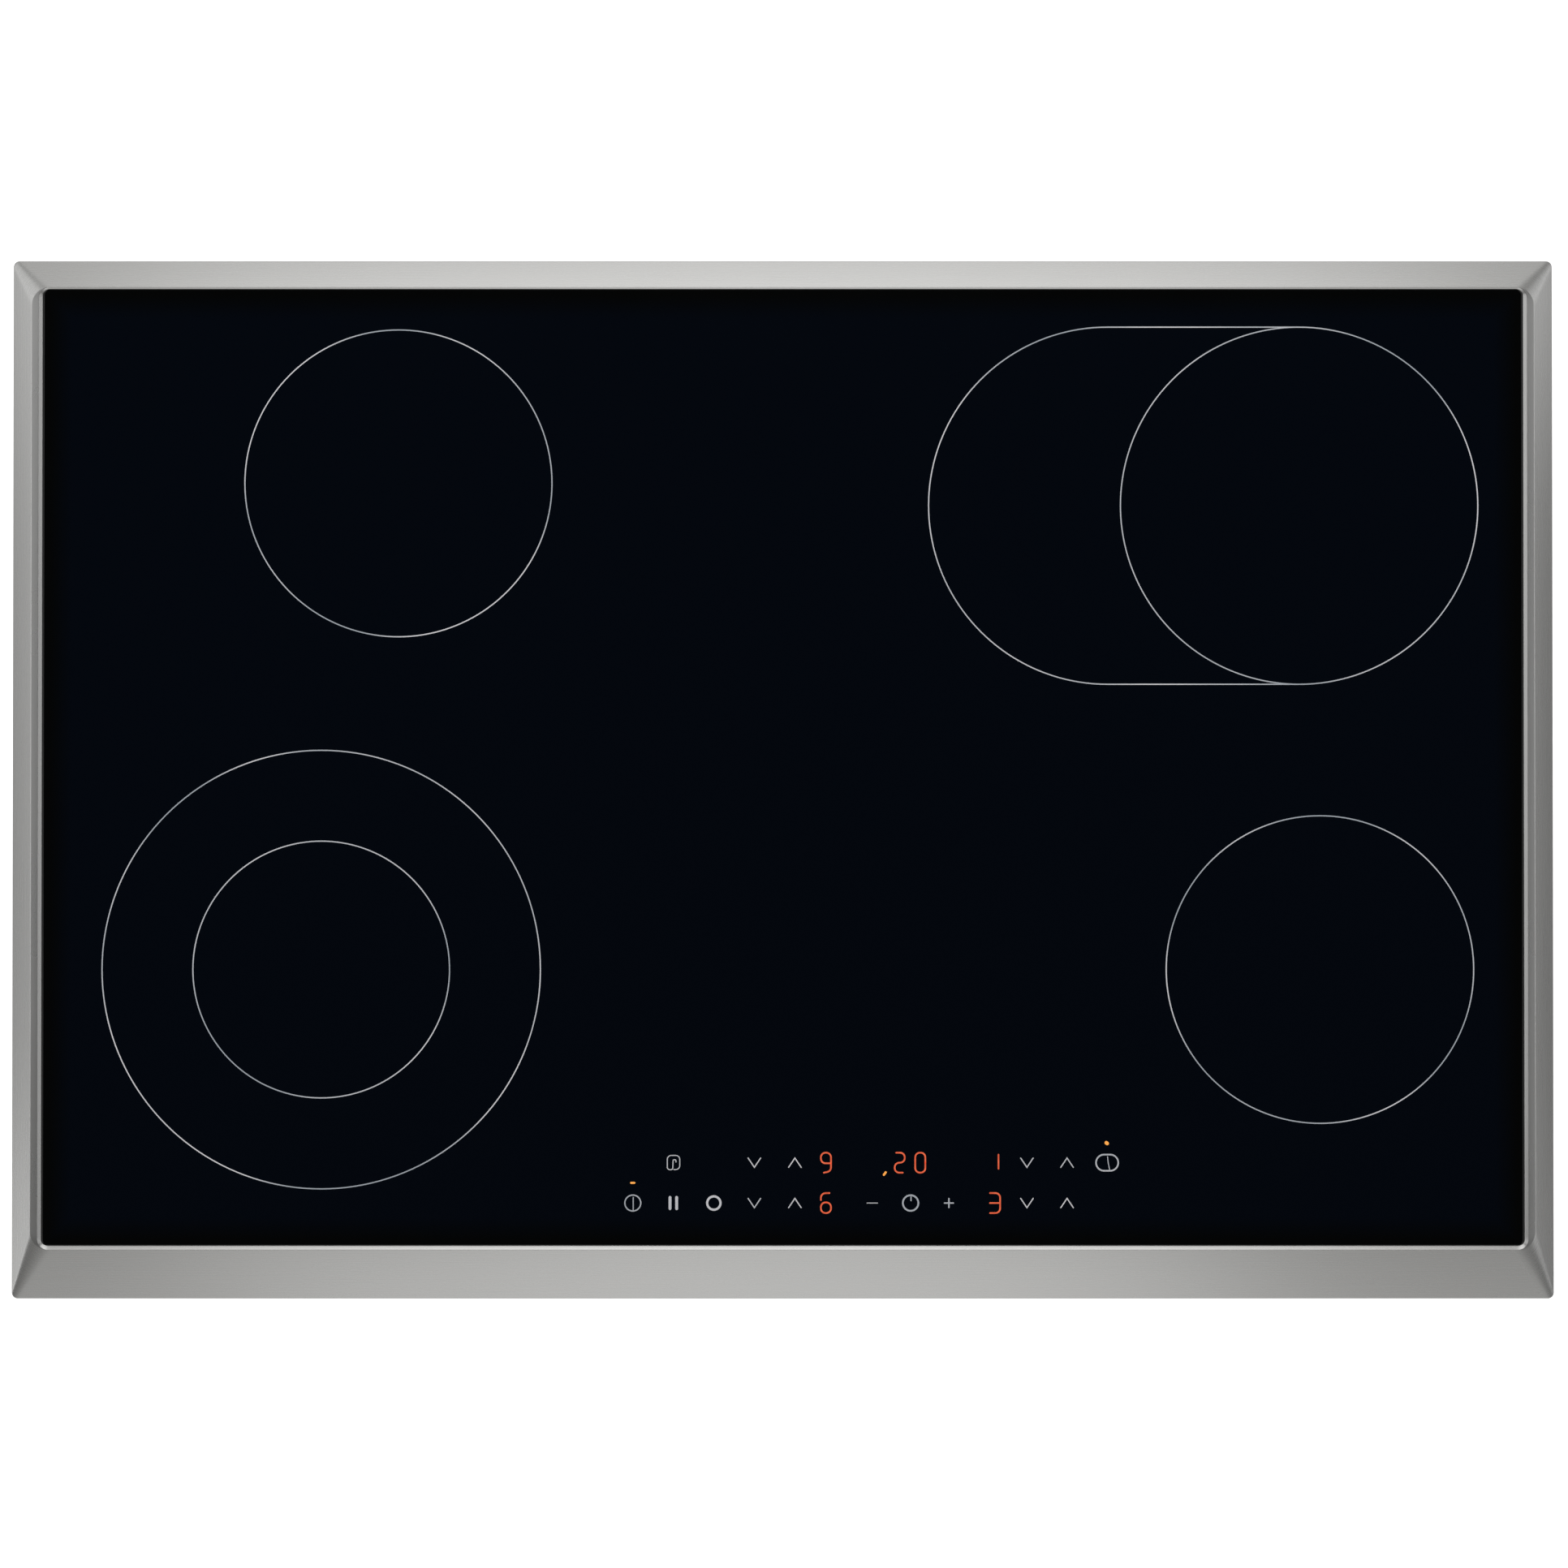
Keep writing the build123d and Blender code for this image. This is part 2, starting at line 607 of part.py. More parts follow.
def radial_strip(angle, r0, r1):
    """A strip of the ribbon's thickness along a radius."""
    strip = Rectangle(abs(r1 - r0) + RIBBON_THICKNESS, RIBBON_THICKNESS)
    return Rot(0, 0, angle) * Pos((r0 + r1) / 2, 0) * strip


def ribbon_plan(radii, start, end):
    """A ribbon that runs back and forth along arcs, joined at alternate ends."""
    plan = arc_strip(radii[0], start, end)
    for i in range(1, len(radii)):
        plan += arc_strip(radii[i], start, end)
        plan += radial_strip(end if i % 2 else start, radii[i - 1], radii[i])
    return plan


def ribbon_radii(outer, inner):
    """Radii of the arcs, from the outer wall inwards."""
    first = outer - RIBBON_WALL_GAP
    count = int((first - inner - RIBBON_WALL_GAP) / RIBBON_PITCH) + 1
    return [first - RIBBON_PITCH * i for i in range(count)]


def ring_ribbon(z, outer, inner):
    """A ribbon on full turns, with a gap at the limiter head's side."""
    plan = ribbon_plan(ribbon_radii(outer, inner), RIBBON_GAP_ANGLE, 360 - RIBBON_GAP_ANGLE)
    return slab(z.place() * plan, ribbon_base, ribbon_base + RIBBON_HEIGHT)


def crescent_ribbon(z):
    """The oval zone's second ribbon, on arcs about the left end."""
    radii = ribbon_radii(z.radius, z.radius - CRESCENT_TURNS * RIBBON_PITCH - RIBBON_WALL_GAP)
    plan = ribbon_plan(radii, 180 - CRESCENT_ANGLE, 180 + CRESCENT_ANGLE)
    return slab(Pos(z.x - z.reach, z.y) * plan, ribbon_base, ribbon_base + RIBBON_HEIGHT)


def make_limiter_tube(z):
    """The glass tube over the expansion rod, from the switch head across the ribbons to the far wall."""
    start, end = -z.radius - TUBE_SEAT, z.head_start()
    tube = Pos((start + end) / 2, 0, tube_z) * Rot(0, 90, 0) * Cylinder(TUBE_RADIUS, end - start)
    return z.place() * tube


def make_limiter_head(z):
    """The ceramic switch block outside the dish, stepped where its cover plate fits."""
    start, half = z.head_start(), HEAD_WIDTH / 2
    end = start + HEAD_LENGTH
    top = glass_base - HEAD_BELOW_GLASS
    block = box(start, end, -half, half, top - HEAD_HEIGHT, top)
    block -= box(end - HEAD_STEP_LENGTH, end, -half, half, top - HEAD_STEP_HEIGHT, top)
    return z.place() * block


def tab_z():
    return glass_base - HEAD_BELOW_GLASS - HEAD_HEIGHT / 2


def make_heater_tabs():
    """Spade tabs on the limiter heads, where the wires plug on."""
    tabs = []
    half = TAB_WIDTH / 2
    for z in zones:
        end = z.head_start() + HEAD_LENGTH
        for y in spread(TAB_COUNT, -HEAD_WIDTH / 2, HEAD_WIDTH / 2):
            tab = box(end, end + TAB_LENGTH, y - half, y + half, tab_z(), tab_z() + TAB_SHEET)
            tabs.append(z.place() * tab)
    return tabs


def folded_strip(points, bend, sheet, width):
    """A strip of sheet folded along points in X and Z, with its middle on them."""
    path = FilletPolyline(*points, radius=bend)
    return extrude(Plane.XZ * trace(path, sheet), amount=width / 2, both=True)


def leaf_spring(height):
    """A bowed strip with flat feet and a flat crown, standing on the floor."""
    crown, half = SPRING_CROWN / 2, SPRING_LENGTH / 2
    foot = half - SPRING_FOOT
    low, high = SPRING_SHEET / 2, height - SPRING_SHEET / 2
    line = [(-half, low), (-foot, low), (-crown, high), (crown, high), (foot, low), (half, low)]
    return Pos(0, 0, floor_top) * folded_strip(line, SPRING_BEND, SPRING_SHEET, SPRING_WIDTH)


def make_heater_springs():
    """Two springs under each heater."""
    spring = leaf_spring(dish_base - floor_top)
    springs = []
    for z in zones:
        for y in (-SPRING_SPREAD * z.radius, SPRING_SPREAD * z.radius):
            springs.append(Pos(z.x - z.reach / 2, z.y + y) * spring)
    return springs


# Touch control


def control_front():
    return tray_inside.front + CONTROL_FRONT_GAP


def control_rear():
    return control_front() + CONTROL_DEPTH


control_edge = Outline(CONTROL_WIDTH / 2, control_front(), control_rear(), CONTROL_CORNER)
control_inside = control_edge.grown(-CONTROL_WALL)
board_edge = control_inside.grown(-BOARD_GAP)
front_row = opening.front + FRONT_ROW_FROM_GLASS
rear_row = front_row + ROW_PITCH
middle_row = (front_row + rear_row) / 2

key_x = [LEFT_COLUMN + KEY_PITCH * i for i in range(5)]
right_x = [RIGHT_COLUMN + KEY_PITCH * i for i in range(3)]


def key_places():
    front = key_x + [TIMER_X - TIMER_PITCH, TIMER_X, TIMER_X + TIMER_PITCH] + right_x[:2]
    rear = [key_x[1], key_x[3], key_x[4]] + right_x
    return [(x, front_row) for x in front] + [(x, rear_row) for x in rear]


def make_control_housing():
    """An open plastic tub with corner bosses for the board and slots in its floor."""
    tub = Pos(CONTROL_X, 0) * slab(control_edge.sketch(), control_base, glass_base)
    floor = control_base + CONTROL_WALL
    tub -= Pos(CONTROL_X, 0) * slab(control_inside.sketch(), floor, glass_base)
    boss = control_inside.grown(-BOSS_INSET, CONTROL_CORNER)
    for x in (-boss.half_width, boss.half_width):
        for y in (boss.front, boss.rear):
            tub += post(CONTROL_X + x, y, floor, board_base, BOSS_RADIUS)
    for i in range(CONTROL_SLOT_COUNT):
        x = CONTROL_X + CONTROL_SLOT_PITCH * (i - (CONTROL_SLOT_COUNT - 1) / 2)
        plan = Pos(x, (control_edge.front + control_edge.rear) / 2)
        plan *= Rot(0, 0, 90) * SlotOverall(CONTROL_SLOT_LENGTH, CONTROL_SLOT_WIDTH)
        tub -= slab(plan, control_base, floor)
    return tub


def make_control_board():
    return Pos(CONTROL_X, 0) * slab(board_edge.sketch(), board_base, board_top)


def make_sensor_pads():
    """Conductive foam pads between the board and the glass, one under each key."""
    return [post(x, y, board_top, glass_base, KEY_RADIUS) for x, y in key_places()]


def standing(x, y, width, depth):
    """A block on the board, up to the glass."""
    return box(x - width / 2, x + width / 2, y - depth / 2, y + depth / 2, board_top, glass_base)


def make_digit_displays():
    """One digit for each zone and two for the timer."""
    places = [(x, y) for x in (DIGITS_LEFT, DIGITS_RIGHT) for y in (front_row, rear_row)]
    digits = [standing(x, y, DIGIT_WIDTH, DIGIT_DEPTH) for x, y in places]
    return digits + [standing(TIMER_X, rear_row, TIMER_WIDTH, DIGIT_DEPTH)]


def make_lamp_guides():
    """Light guides of the power lamp, the timer lamp and the oval zone's lamp."""
    power = standing(key_x[0], middle_row, LAMP_WIDTH, LAMP_DEPTH)
    timer = standing(TIMER_LAMP_X, rear_row - TIMER_LAMP_BEFORE_ROW, LAMP_DEPTH, LAMP_DEPTH)
    oval = standing(right_x[2], rear_row + OVAL_LAMP_BEHIND_ROW, LAMP_WIDTH, LAMP_DEPTH)
    return [power, timer, oval]


def hanging(x, y, width, depth, height):
    """A block under the board."""
    return box(x - width / 2, x + width / 2, y - depth / 2, y + depth / 2, board_base - height, board_base)


def make_relays():
    y = board_edge.rear - RELAY_DEPTH
    places = [CONTROL_X + RELAY_PITCH * (i - (RELAY_COUNT - 1) / 2) for i in range(RELAY_COUNT)]
    return [hanging(x, y, RELAY_WIDTH, RELAY_DEPTH, RELAY_HEIGHT) for x in places]


def make_transformer():
    y = board_edge.front + TRANSFORMER_DEPTH / 2 + BOARD_GAP
    return hanging(CONTROL_X + TRANSFORMER_X, y, TRANSFORMER_WIDTH, TRANSFORMER_DEPTH, TRANSFORMER_HEIGHT)


def make_control_springs():
    """A spring under each end of the control."""
    spring = leaf_spring(control_base - floor_top)
    y = (control_edge.front + control_edge.rear) / 2
    return [Pos(CONTROL_X + x, y) * spring for x in (-CONTROL_SPRING_SPACING / 2, CONTROL_SPRING_SPACING / 2)]


# Mains terminals


def terminal_outline():
    """The terminal box, about its own middle in X, with its flange clear of the tray's rounded edge."""
    rear = tray_inside.rear - TRAY_BASE_RADIUS - BOX_FLANGE
    return Outline(BOX_WIDTH / 2, rear - BOX_DEPTH, rear, BOX_WALL)


gland_radius = GLAND_BORE + GLAND_WALL


def hinge_place():
    """Y and Z of the cover's hinge axis."""
    y = terminal_outline().front + BOX_WALL + COVER_GAP + COVER_BARREL_RADIUS
    return y, tray_base + COVER_RECESS + COVER_BARREL_RADIUS


def gland_bar(radius, y0, y1):
    """A round bar on the cable's axis, from one place in Y to another."""
    z = tray_base + GLAND_ABOVE_BASE
    return Pos(TERMINAL_X + GLAND_X, (y0 + y1) / 2, z) * Rot(90, 0, 0) * Cylinder(radius, y1 - y0)


def cord_bar_y():
    return terminal_outline().rear - BOX_WALL - CORD_BAR_FROM_REAR


def cord_screw_places():
    x = TERMINAL_X + GLAND_X
    return [(x - CORD_SCREW_SPACING / 2, cord_bar_y()), (x + CORD_SCREW_SPACING / 2, cord_bar_y())]


def cord_bar_top():
    return tray_base + GLAND_ABOVE_BASE - GLAND_BORE - SEAT_CLEARANCE


def make_terminal_box():
    """A plastic cap, open below, that stands on a flange in the tray's floor and carries the cover's pins."""
    edge = terminal_outline()
    cavity = edge.grown(-BOX_WALL, BOX_WALL / 2)
    flange = edge.grown(BOX_FLANGE)
    shell = slab(edge.sketch(), box_base, box_top) + slab(flange.sketch(), floor_top, floor_top + BOX_WALL)
    shell -= slab(cavity.sketch(), box_base, box_top - BOX_WALL)
    shell = Pos(TERMINAL_X, 0) * shell
    for x, y in cord_screw_places():
        shell += post(x, y, cord_bar_top(), box_top - BOX_WALL, CORD_POST_RADIUS)
        shell -= post(x, y, cord_bar_top(), box_top - 2 * BOX_WALL, CORD_SCREW_RADIUS + SCREW_CLEARANCE)
    shell -= gland_bar(gland_radius + SCREW_CLEARANCE, edge.rear - BOX_WALL, edge.rear)
    return shell - hinge_bar(COVER_PIN_RADIUS + RUNNING_CLEARANCE, BOX_WIDTH)


def hinge_bar(radius, length):
    """A round bar on the cover's hinge axis."""
    return Pos(TERMINAL_X, *hinge_place()) * Rot(0, 90, 0) * Cylinder(radius, length)


def make_terminal_cover():
    """The hinged lid over the terminals, with a barrel and two stub pins at its front edge."""
    edge = terminal_outline().grown(-BOX_WALL - COVER_GAP, BOX_WALL)
    y, z = hinge_place()
    low = z - COVER_BARREL_RADIUS
    lid = slab(edge._replace(front=y).sketch(), low, low + COVER_THICKNESS)
    width = 2 * edge.half_width
    pins = hinge_bar(COVER_PIN_RADIUS, width + 2 * (COVER_GAP + COVER_PIN_LENGTH))
    return Pos(TERMINAL_X, 0) * lid + hinge_bar(COVER_BARREL_RADIUS, width) + pins


def block_front():
    return hinge_place()[0] + COVER_BARREL_RADIUS + BLOCK_FROM_HINGE


def block_base():
    return box_top - BOX_WALL - BLOCK_HEIGHT


def contact_places():
    y = block_front() + BLOCK_DEPTH / 2
    return [(TERMINAL_X + CONTACT_PITCH * (i - (CONTACT_COUNT - 1) / 2), y) for i in range(CONTACT_COUNT)]


def make_terminal_block():
    """The insulating block with a barrier between each two contacts."""
    half = BLOCK_WIDTH / 2
    front = block_front()
    body = box(-half, half, front, front + BLOCK_DEPTH, block_base(), box_top - BOX_WALL)
    body = Pos(TERMINAL_X, 0) * body
    for x, y in contact_places():
        w = CONTACT_WIDTH / 2 + SCREW_CLEARANCE
        body -= box(x - w, x + w, front, front + BLOCK_DEPTH, block_base(), block_base() + 2 * CONTACT_HEIGHT)
    return body


def make_terminal_contacts():
    low = block_base() + CONTACT_HEIGHT
    contact = Box(CONTACT_WIDTH, BLOCK_DEPTH, CONTACT_HEIGHT)
    return [Pos(x, y, low + CONTACT_HEIGHT / 2) * contact for x, y in contact_places()]


def make_terminal_screws():
    top = block_base() + CONTACT_HEIGHT
    return [post(x, y, top - TERMINAL_SCREW_HEIGHT, top, TERMINAL_SCREW_RADIUS) for x, y in contact_places()]


def make_cable_gland():
    """A bush through the tray's back wall and the terminal box, with a flange outside."""
    wall = tray_edge.rear
    start, end = terminal_outline().rear - BOX_WALL - GLAND_INSIDE, wall + GLAND_FLANGE_LENGTH
    bush = gland_bar(gland_radius, start, wall) + gland_bar(gland_radius + GLAND_FLANGE, wall, end)
    return bush - gland_bar(GLAND_BORE, start, end)


def make_cord_clamp():
    """The bar that grips the mains cable from below."""
    x, y = TERMINAL_X + GLAND_X, cord_bar_y()
    half, depth, top = CORD_BAR_WIDTH / 2, CORD_BAR_DEPTH / 2, cord_bar_top()
    bar = box(x - half, x + half, y - depth, y + depth, top - CORD_BAR_THICKNESS, top)
    for sx, sy in cord_screw_places():
        bar -= post(sx, sy, top - CORD_BAR_THICKNESS, top, CORD_SCREW_RADIUS + SCREW_CLEARANCE)
    return bar


def make_cord_screws():
    screws = []
    low = cord_bar_top() - CORD_BAR_THICKNESS
    for x, y in cord_screw_places():
        head = post(x, y, low - CORD_SCREW_HEAD_HEIGHT, low, CORD_SCREW_HEAD_RADIUS)
        screws.append(head + post(x, y, low, box_top - 2 * BOX_WALL - SCREW_CLEARANCE, CORD_SCREW_RADIUS))
    return screws


# Inner wiring


def wire(points):
    """A loom along straight runs with rounded corners: six wires round a seventh, so six-sided."""
    path = FilletPolyline(*points, radius=WIRE_BEND)
    section = Plane(origin=path @ 0, z_dir=path % 0) * RegularPolygon(WIRE_RADIUS, 6)
    return sweep(section, path=path)


def tab_end(z):
    """The middle of a limiter head's tabs, at their free ends."""
    reach = z.head_start() + HEAD_LENGTH + TAB_LENGTH
    angle = radians(z.head_angle)
    return z.x + reach * cos(angle), z.y + reach * sin(angle)


def dip(x, y0, y1, z):
    """Points of a loom that leaves one place along Y, dips to the floor and rises again to the other."""
    low = floor_top + WIRE_ABOVE_FLOOR
    down, up = y0 + WIRE_EXIT, y1 - WIRE_EXIT
    start = [(x, y0, z), (x, down, z), (x, down + WIRE_DIP, low)]
    return start + [(x, up - WIRE_DIP, low), (x, up, z), (x, y1, z)]


def make_wiring():
    """Looms from the control to the terminals and to each heater."""
    z = tab_z() + TAB_SHEET / 2
    start = control_rear()
    looms = []
    for heater, turn in ((front_left, FRONT_LOOM_TURN), (front_right, -FRONT_LOOM_TURN)):
        x, y = tab_end(heater)
        looms.append(wire([(x + turn, start, z), (x + turn, y, z), (x, y, z)]))
    x, y = tab_end(rear_left)
    loom_x = x + REAR_LEFT_LOOM_TURN
    looms.append(wire(dip(loom_x, start, y, z) + [(x, y, z)]))
    mains_x, mains_z = loom_x + MAINS_LOOM_GAP, control_base + WIRE_ABOVE_FLOOR
    looms.append(wire(dip(mains_x, start, terminal_outline().front, mains_z)))
    x, y = tab_end(rear_right)
    turn_x = REAR_RIGHT_LOOM_TURN * cos(radians(rear_right.head_angle))
    turn_y = REAR_RIGHT_LOOM_TURN * sin(radians(rear_right.head_angle))
    looms.append(wire(dip(x + turn_x, start, y + turn_y, z) + [(x, y, z)]))
    return looms


def make_all():
    """Every node by name."""
    nodes = {
        "trim_frame": make_trim_frame(),
        "worktop_gasket": make_gasket(),
        "glass_panel": make_glass(),
        "glass_sealant": make_sealant(),
        "bottom_tray": make_tray(),
        "tray_screws": make_tray_screws(),
        "clamp_nuts": make_clamp_nuts(),
        "heater_tabs": make_heater_tabs(),
        "heater_springs": make_heater_springs(),
        "control_housing": make_control_housing(),
        "control_board": make_control_board(),
        "touch_sensor_pads": make_sensor_pads(),
        "digit_displays": make_digit_displays(),
        "lamp_guides": make_lamp_guides(),
        "power_relays": make_relays(),
        "transformer": make_transformer(),
        "control_springs": make_control_springs(),
        "terminal_box": make_terminal_box(),
        "terminal_cover": make_terminal_cover(),
        "terminal_block": make_terminal_block(),
        "terminal_contacts": make_terminal_contacts(),
        "terminal_screws": make_terminal_screws(),
        "cable_gland": make_cable_gland(),
        "cord_clamp": make_cord_clamp(),
        "cord_clamp_screws": make_cord_screws(),
        "wiring_looms": make_wiring(),
    }
    for side, end, name in corner_signs():
        nodes[f"clamp_{name}"] = make_clamp(side, end)
        nodes[f"clamp_screw_{name}"] = make_clamp_screw(side, end)
    for z in zones:
        nodes[f"heater_dish_{z.name}"] = make_dish(z)
        nodes[f"insulation_base_{z.name}"] = make_insulation_base(z)
        nodes[f"insulation_wall_{z.name}"] = make_insulation_wall(z)
        nodes[f"limiter_tube_{z.name}"] = make_limiter_tube(z)
        nodes[f"limiter_head_{z.name}"] = make_limiter_head(z)
    nodes["ribbon_rear_left"] = ring_ribbon(rear_left, rear_left.radius, 0)
    nodes["ribbon_front_right"] = ring_ribbon(front_right, front_right.radius, 0)
    inner = front_left.inner_radius
    nodes["ribbon_front_left_inner"] = ring_ribbon(front_left, inner, 0)
    nodes["ribbon_front_left_outer"] = ring_ribbon(front_left, front_left.radius, inner + DIVIDER_THICKNESS)
    nodes["ribbon_rear_right_main"] = ring_ribbon(rear_right, rear_right.radius, 0)
    nodes["ribbon_rear_right_extension"] = crescent_ribbon(rear_right)
    return nodes


def solids_of(made):
    """The solids of a node, whether it was made as one shape or as a list."""
    shapes = made if isinstance(made, list) else [made]
    return [s for shape in shapes for s in shape.solids()]


os.makedirs("parts", exist_ok=True)
for name, made in make_all().items():
    found = solids_of(made)
    export_step(found[0] if len(found) == 1 else Compound(children=found), f"parts/{name}.step")
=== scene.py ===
import json
from math import atan2, cos, pi, radians, sin, tan
from typing import NamedTuple

import bmesh
import bpy
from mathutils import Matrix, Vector


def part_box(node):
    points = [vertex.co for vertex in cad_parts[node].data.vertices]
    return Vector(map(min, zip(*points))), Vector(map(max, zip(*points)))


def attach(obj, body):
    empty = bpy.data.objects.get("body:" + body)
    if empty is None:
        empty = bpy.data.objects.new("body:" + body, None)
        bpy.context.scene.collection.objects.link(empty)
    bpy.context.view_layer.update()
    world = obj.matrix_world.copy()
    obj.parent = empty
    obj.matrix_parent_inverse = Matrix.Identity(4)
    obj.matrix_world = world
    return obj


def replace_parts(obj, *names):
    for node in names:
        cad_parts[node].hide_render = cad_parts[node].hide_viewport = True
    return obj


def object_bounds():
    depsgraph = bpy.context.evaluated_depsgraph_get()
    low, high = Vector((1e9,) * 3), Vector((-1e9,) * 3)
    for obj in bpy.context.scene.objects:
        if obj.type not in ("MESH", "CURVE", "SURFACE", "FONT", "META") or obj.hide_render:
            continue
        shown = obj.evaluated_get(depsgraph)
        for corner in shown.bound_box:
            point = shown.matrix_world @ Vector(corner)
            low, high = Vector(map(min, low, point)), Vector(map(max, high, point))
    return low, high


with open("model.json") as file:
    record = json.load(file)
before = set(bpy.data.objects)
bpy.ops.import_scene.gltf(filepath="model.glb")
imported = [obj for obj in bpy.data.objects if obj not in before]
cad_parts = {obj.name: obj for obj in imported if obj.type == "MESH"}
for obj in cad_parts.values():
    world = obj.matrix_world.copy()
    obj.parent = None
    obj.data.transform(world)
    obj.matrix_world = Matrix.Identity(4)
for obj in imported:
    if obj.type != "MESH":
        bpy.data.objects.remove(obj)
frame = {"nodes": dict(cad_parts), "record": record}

# Looks of a built-in glass-ceramic cooktop: brushed steel frame, printed zones, lit digits, tray below.
# Sizes are millimetres, and MM turns them into the frame's metres. +X is right, +Y the back, +Z up.
MM = 0.001
cad_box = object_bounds()
scene = bpy.context.scene


class Rail(NamedTuple):
    """One rail of the trim frame, across its section from the outer edge inwards."""

    width: float  # outer edge to glass opening
    bevel: float  # the sloping outer part
    fold: float  # radius at the top of the bevel
    nose: float  # the part that turns down to the glass
    slopes: tuple  # of the nose at its crest and at the glass, in degrees


# Trim frame: one folded stainless sheet
SIDE = Rail(15.4, 9.6, 1.5, 2.3, (27, 31))
FRONT = Rail(26.5, 24.4, 0.4, 2.0, (18, 31))
REAR = Rail(14.3, 13.4, 0.4, 0.8, (20, 34))
BASE_RADIUS = 0.4  # lower outer edge
LIP_RADIUS = 0.5  # foot of the bevel
CREST_RADIUS = 0.5  # top of the nose
NOSE_ROUNDING = 0.98  # share of the nose that is one arc
FOLD_STEPS = 8
FRAME_SHEET = 0.8
RETURN_FLANGE = 7.0
LEDGE_WIDTH = 9.5
LIP_HEIGHT = 1.8
OUTER_CORNER = 3.0
FOLD_CORNER = 9.0
OPENING_CORNER = 3.2
LEDGE_CORNER = 8.0
CORNER_STEPS = 10
CORNER_SUPPORT = 2.0  # straight length beside a corner that keeps the rail's shading flat
TRIM_SHARP_ANGLE = 35

# Glass: a band along its edge is drawn blacker; it fades out between these distances from the edge, in mm
DARKER_GLASS_BAND = (3.0, 14.0)

# Print on the glass
PRINT_THICKNESS = 0.02
INK_STEP = 0.001
CAP_STEPS = 8
MITRE_LIMIT = 0.3  # least share of a stroke's width at a sharp corner
RING_STEPS = 160
SIGN_STEPS = 48
BEND_STEPS = 6
ZONE_LINE = 0.58
ZONE_LINE_INSIDE_HEATER = 3.1  # from the edge of the heater's insulation
INNER_ZONE_RADIUS = 63.7
FRONT_LEFT_SHIFT = 0.9  # its print stands a little right of its heater

# Key signs: each ring's radius and line, each bar's length and line, and offsets from the key's middle
POWER_RING, POWER_BAR, POWER_BAR_AT = (3.95, 0.62), (6.2, 0.5), (0.2, -0.3)
LOCK_LINE = 0.48
LOCK_POINTS = [
    (0.2, -3.4), (3.2, -3.4), (3.2, 3.6), (-3.0, 3.6), (-3.0, -3.5), (-0.3, -3.5),
    (-0.1, 1.5), (1.3, 1.5), (1.3, 0.3),
]
LOCK_RADII = [0, 2.0, 2.0, 2.0, 1.3, 1.0, 0.65, 0.65, 0]
PAUSE_BAR, PAUSE_HALF = (5.6, 1.4), 1.65
CIRCUIT_RING = (3.3, 1.1)
CHEVRON_WING, CHEVRON_RISE, CHEVRON_LINE = 3.1, 2.3, 0.56
MINUS_BAR, PLUS_BAR = (5.2, 0.42), (4.4, 0.7)
CLOCK_RING, CLOCK_HAND, CLOCK_HAND_AT = (3.85, 0.85), (1.9, 0.6), (0.2, 2.1)
OVAL_RADIUS, OVAL_REACH, OVAL_LINE = 4.0, 3.0, 0.76
OVAL_MARK, OVAL_MARK_LINE = [(0.2, 3.0), (0.5, 0.2), (1.2, -3.4)], 0.42

# Key columns and rows, from the glass's middle and from its front edge
LEFT_COLUMN = -74.4
LEFT_PITCH = 20.1
RIGHT_COLUMN = 121.1
RIGHT_PITCH = 19.9
TIMER_X = 63.4
TIMER_PITCH = 19.0
FRONT_ROW = 21.1
ROW_PITCH = 20.0

# Lit digits
DIGIT_WIDTH = 5.0
DIGIT_HEIGHT = 9.9
DIGIT_LINE = 0.8
DIGIT_CORNER = 2.3
LEFT_DIGITS = 21.4
RIGHT_DIGITS = 105.3
TIMER_DIGITS = (58.0, 68.2)

# Lit lamps: how far each dash runs to the right and to the back, and its width
POWER_LAMP, TIMER_LAMP, OVAL_LAMP = (1.6, 0, 1.0), (0.9, 1.2, 1.1), (0.4, -0.3, 1.8)
TIMER_LAMP_X, TIMER_LAMP_BEFORE_ROW = 50.6, 5.4
LAMP_GUIDE_HALF = (1.5, 0.8)

# Materials


def linear(colour):
    """An sRGB hex colour as the linear colour that a shader takes."""
    channels = [int(colour[i:i + 2], 16) / 255 for i in (1, 3, 5)]
    return (*[c / 12.92 if c <= 0.04045 else ((c + 0.055) / 1.055) ** 2.4 for c in channels], 1.0)


def per(size):
    """Texture scale, in cycles per metre, of a feature of this size in millimetres."""
    return 1 / (size * MM)


def add(tree, kind, inputs, **settings):
    """Adds a shader node with its settings, and fills its inputs with values or other nodes' outputs."""
    made = tree.nodes.new("ShaderNode" + kind)
    for name, value in settings.items():
        setattr(made, name, value)
    for name, value in inputs.items():
        if isinstance(value, bpy.types.NodeSocket):
            tree.links.new(value, made.inputs[name])
        else:
            made.inputs[name].default_value = value
    return made


def start(name, **values):
    """A new material, its node tree, its shader and the place on the surface in the object's metres."""
    made = bpy.data.materials.new(name)
    made.use_nodes = True
    tree = made.node_tree
    shader = tree.nodes["Principled BSDF"]
    for socket, value in values.items():
        shader.inputs[socket.replace("_", " ")].default_value = value
    return made, tree, shader, add(tree, "TexCoord", {}).outputs["Object"]


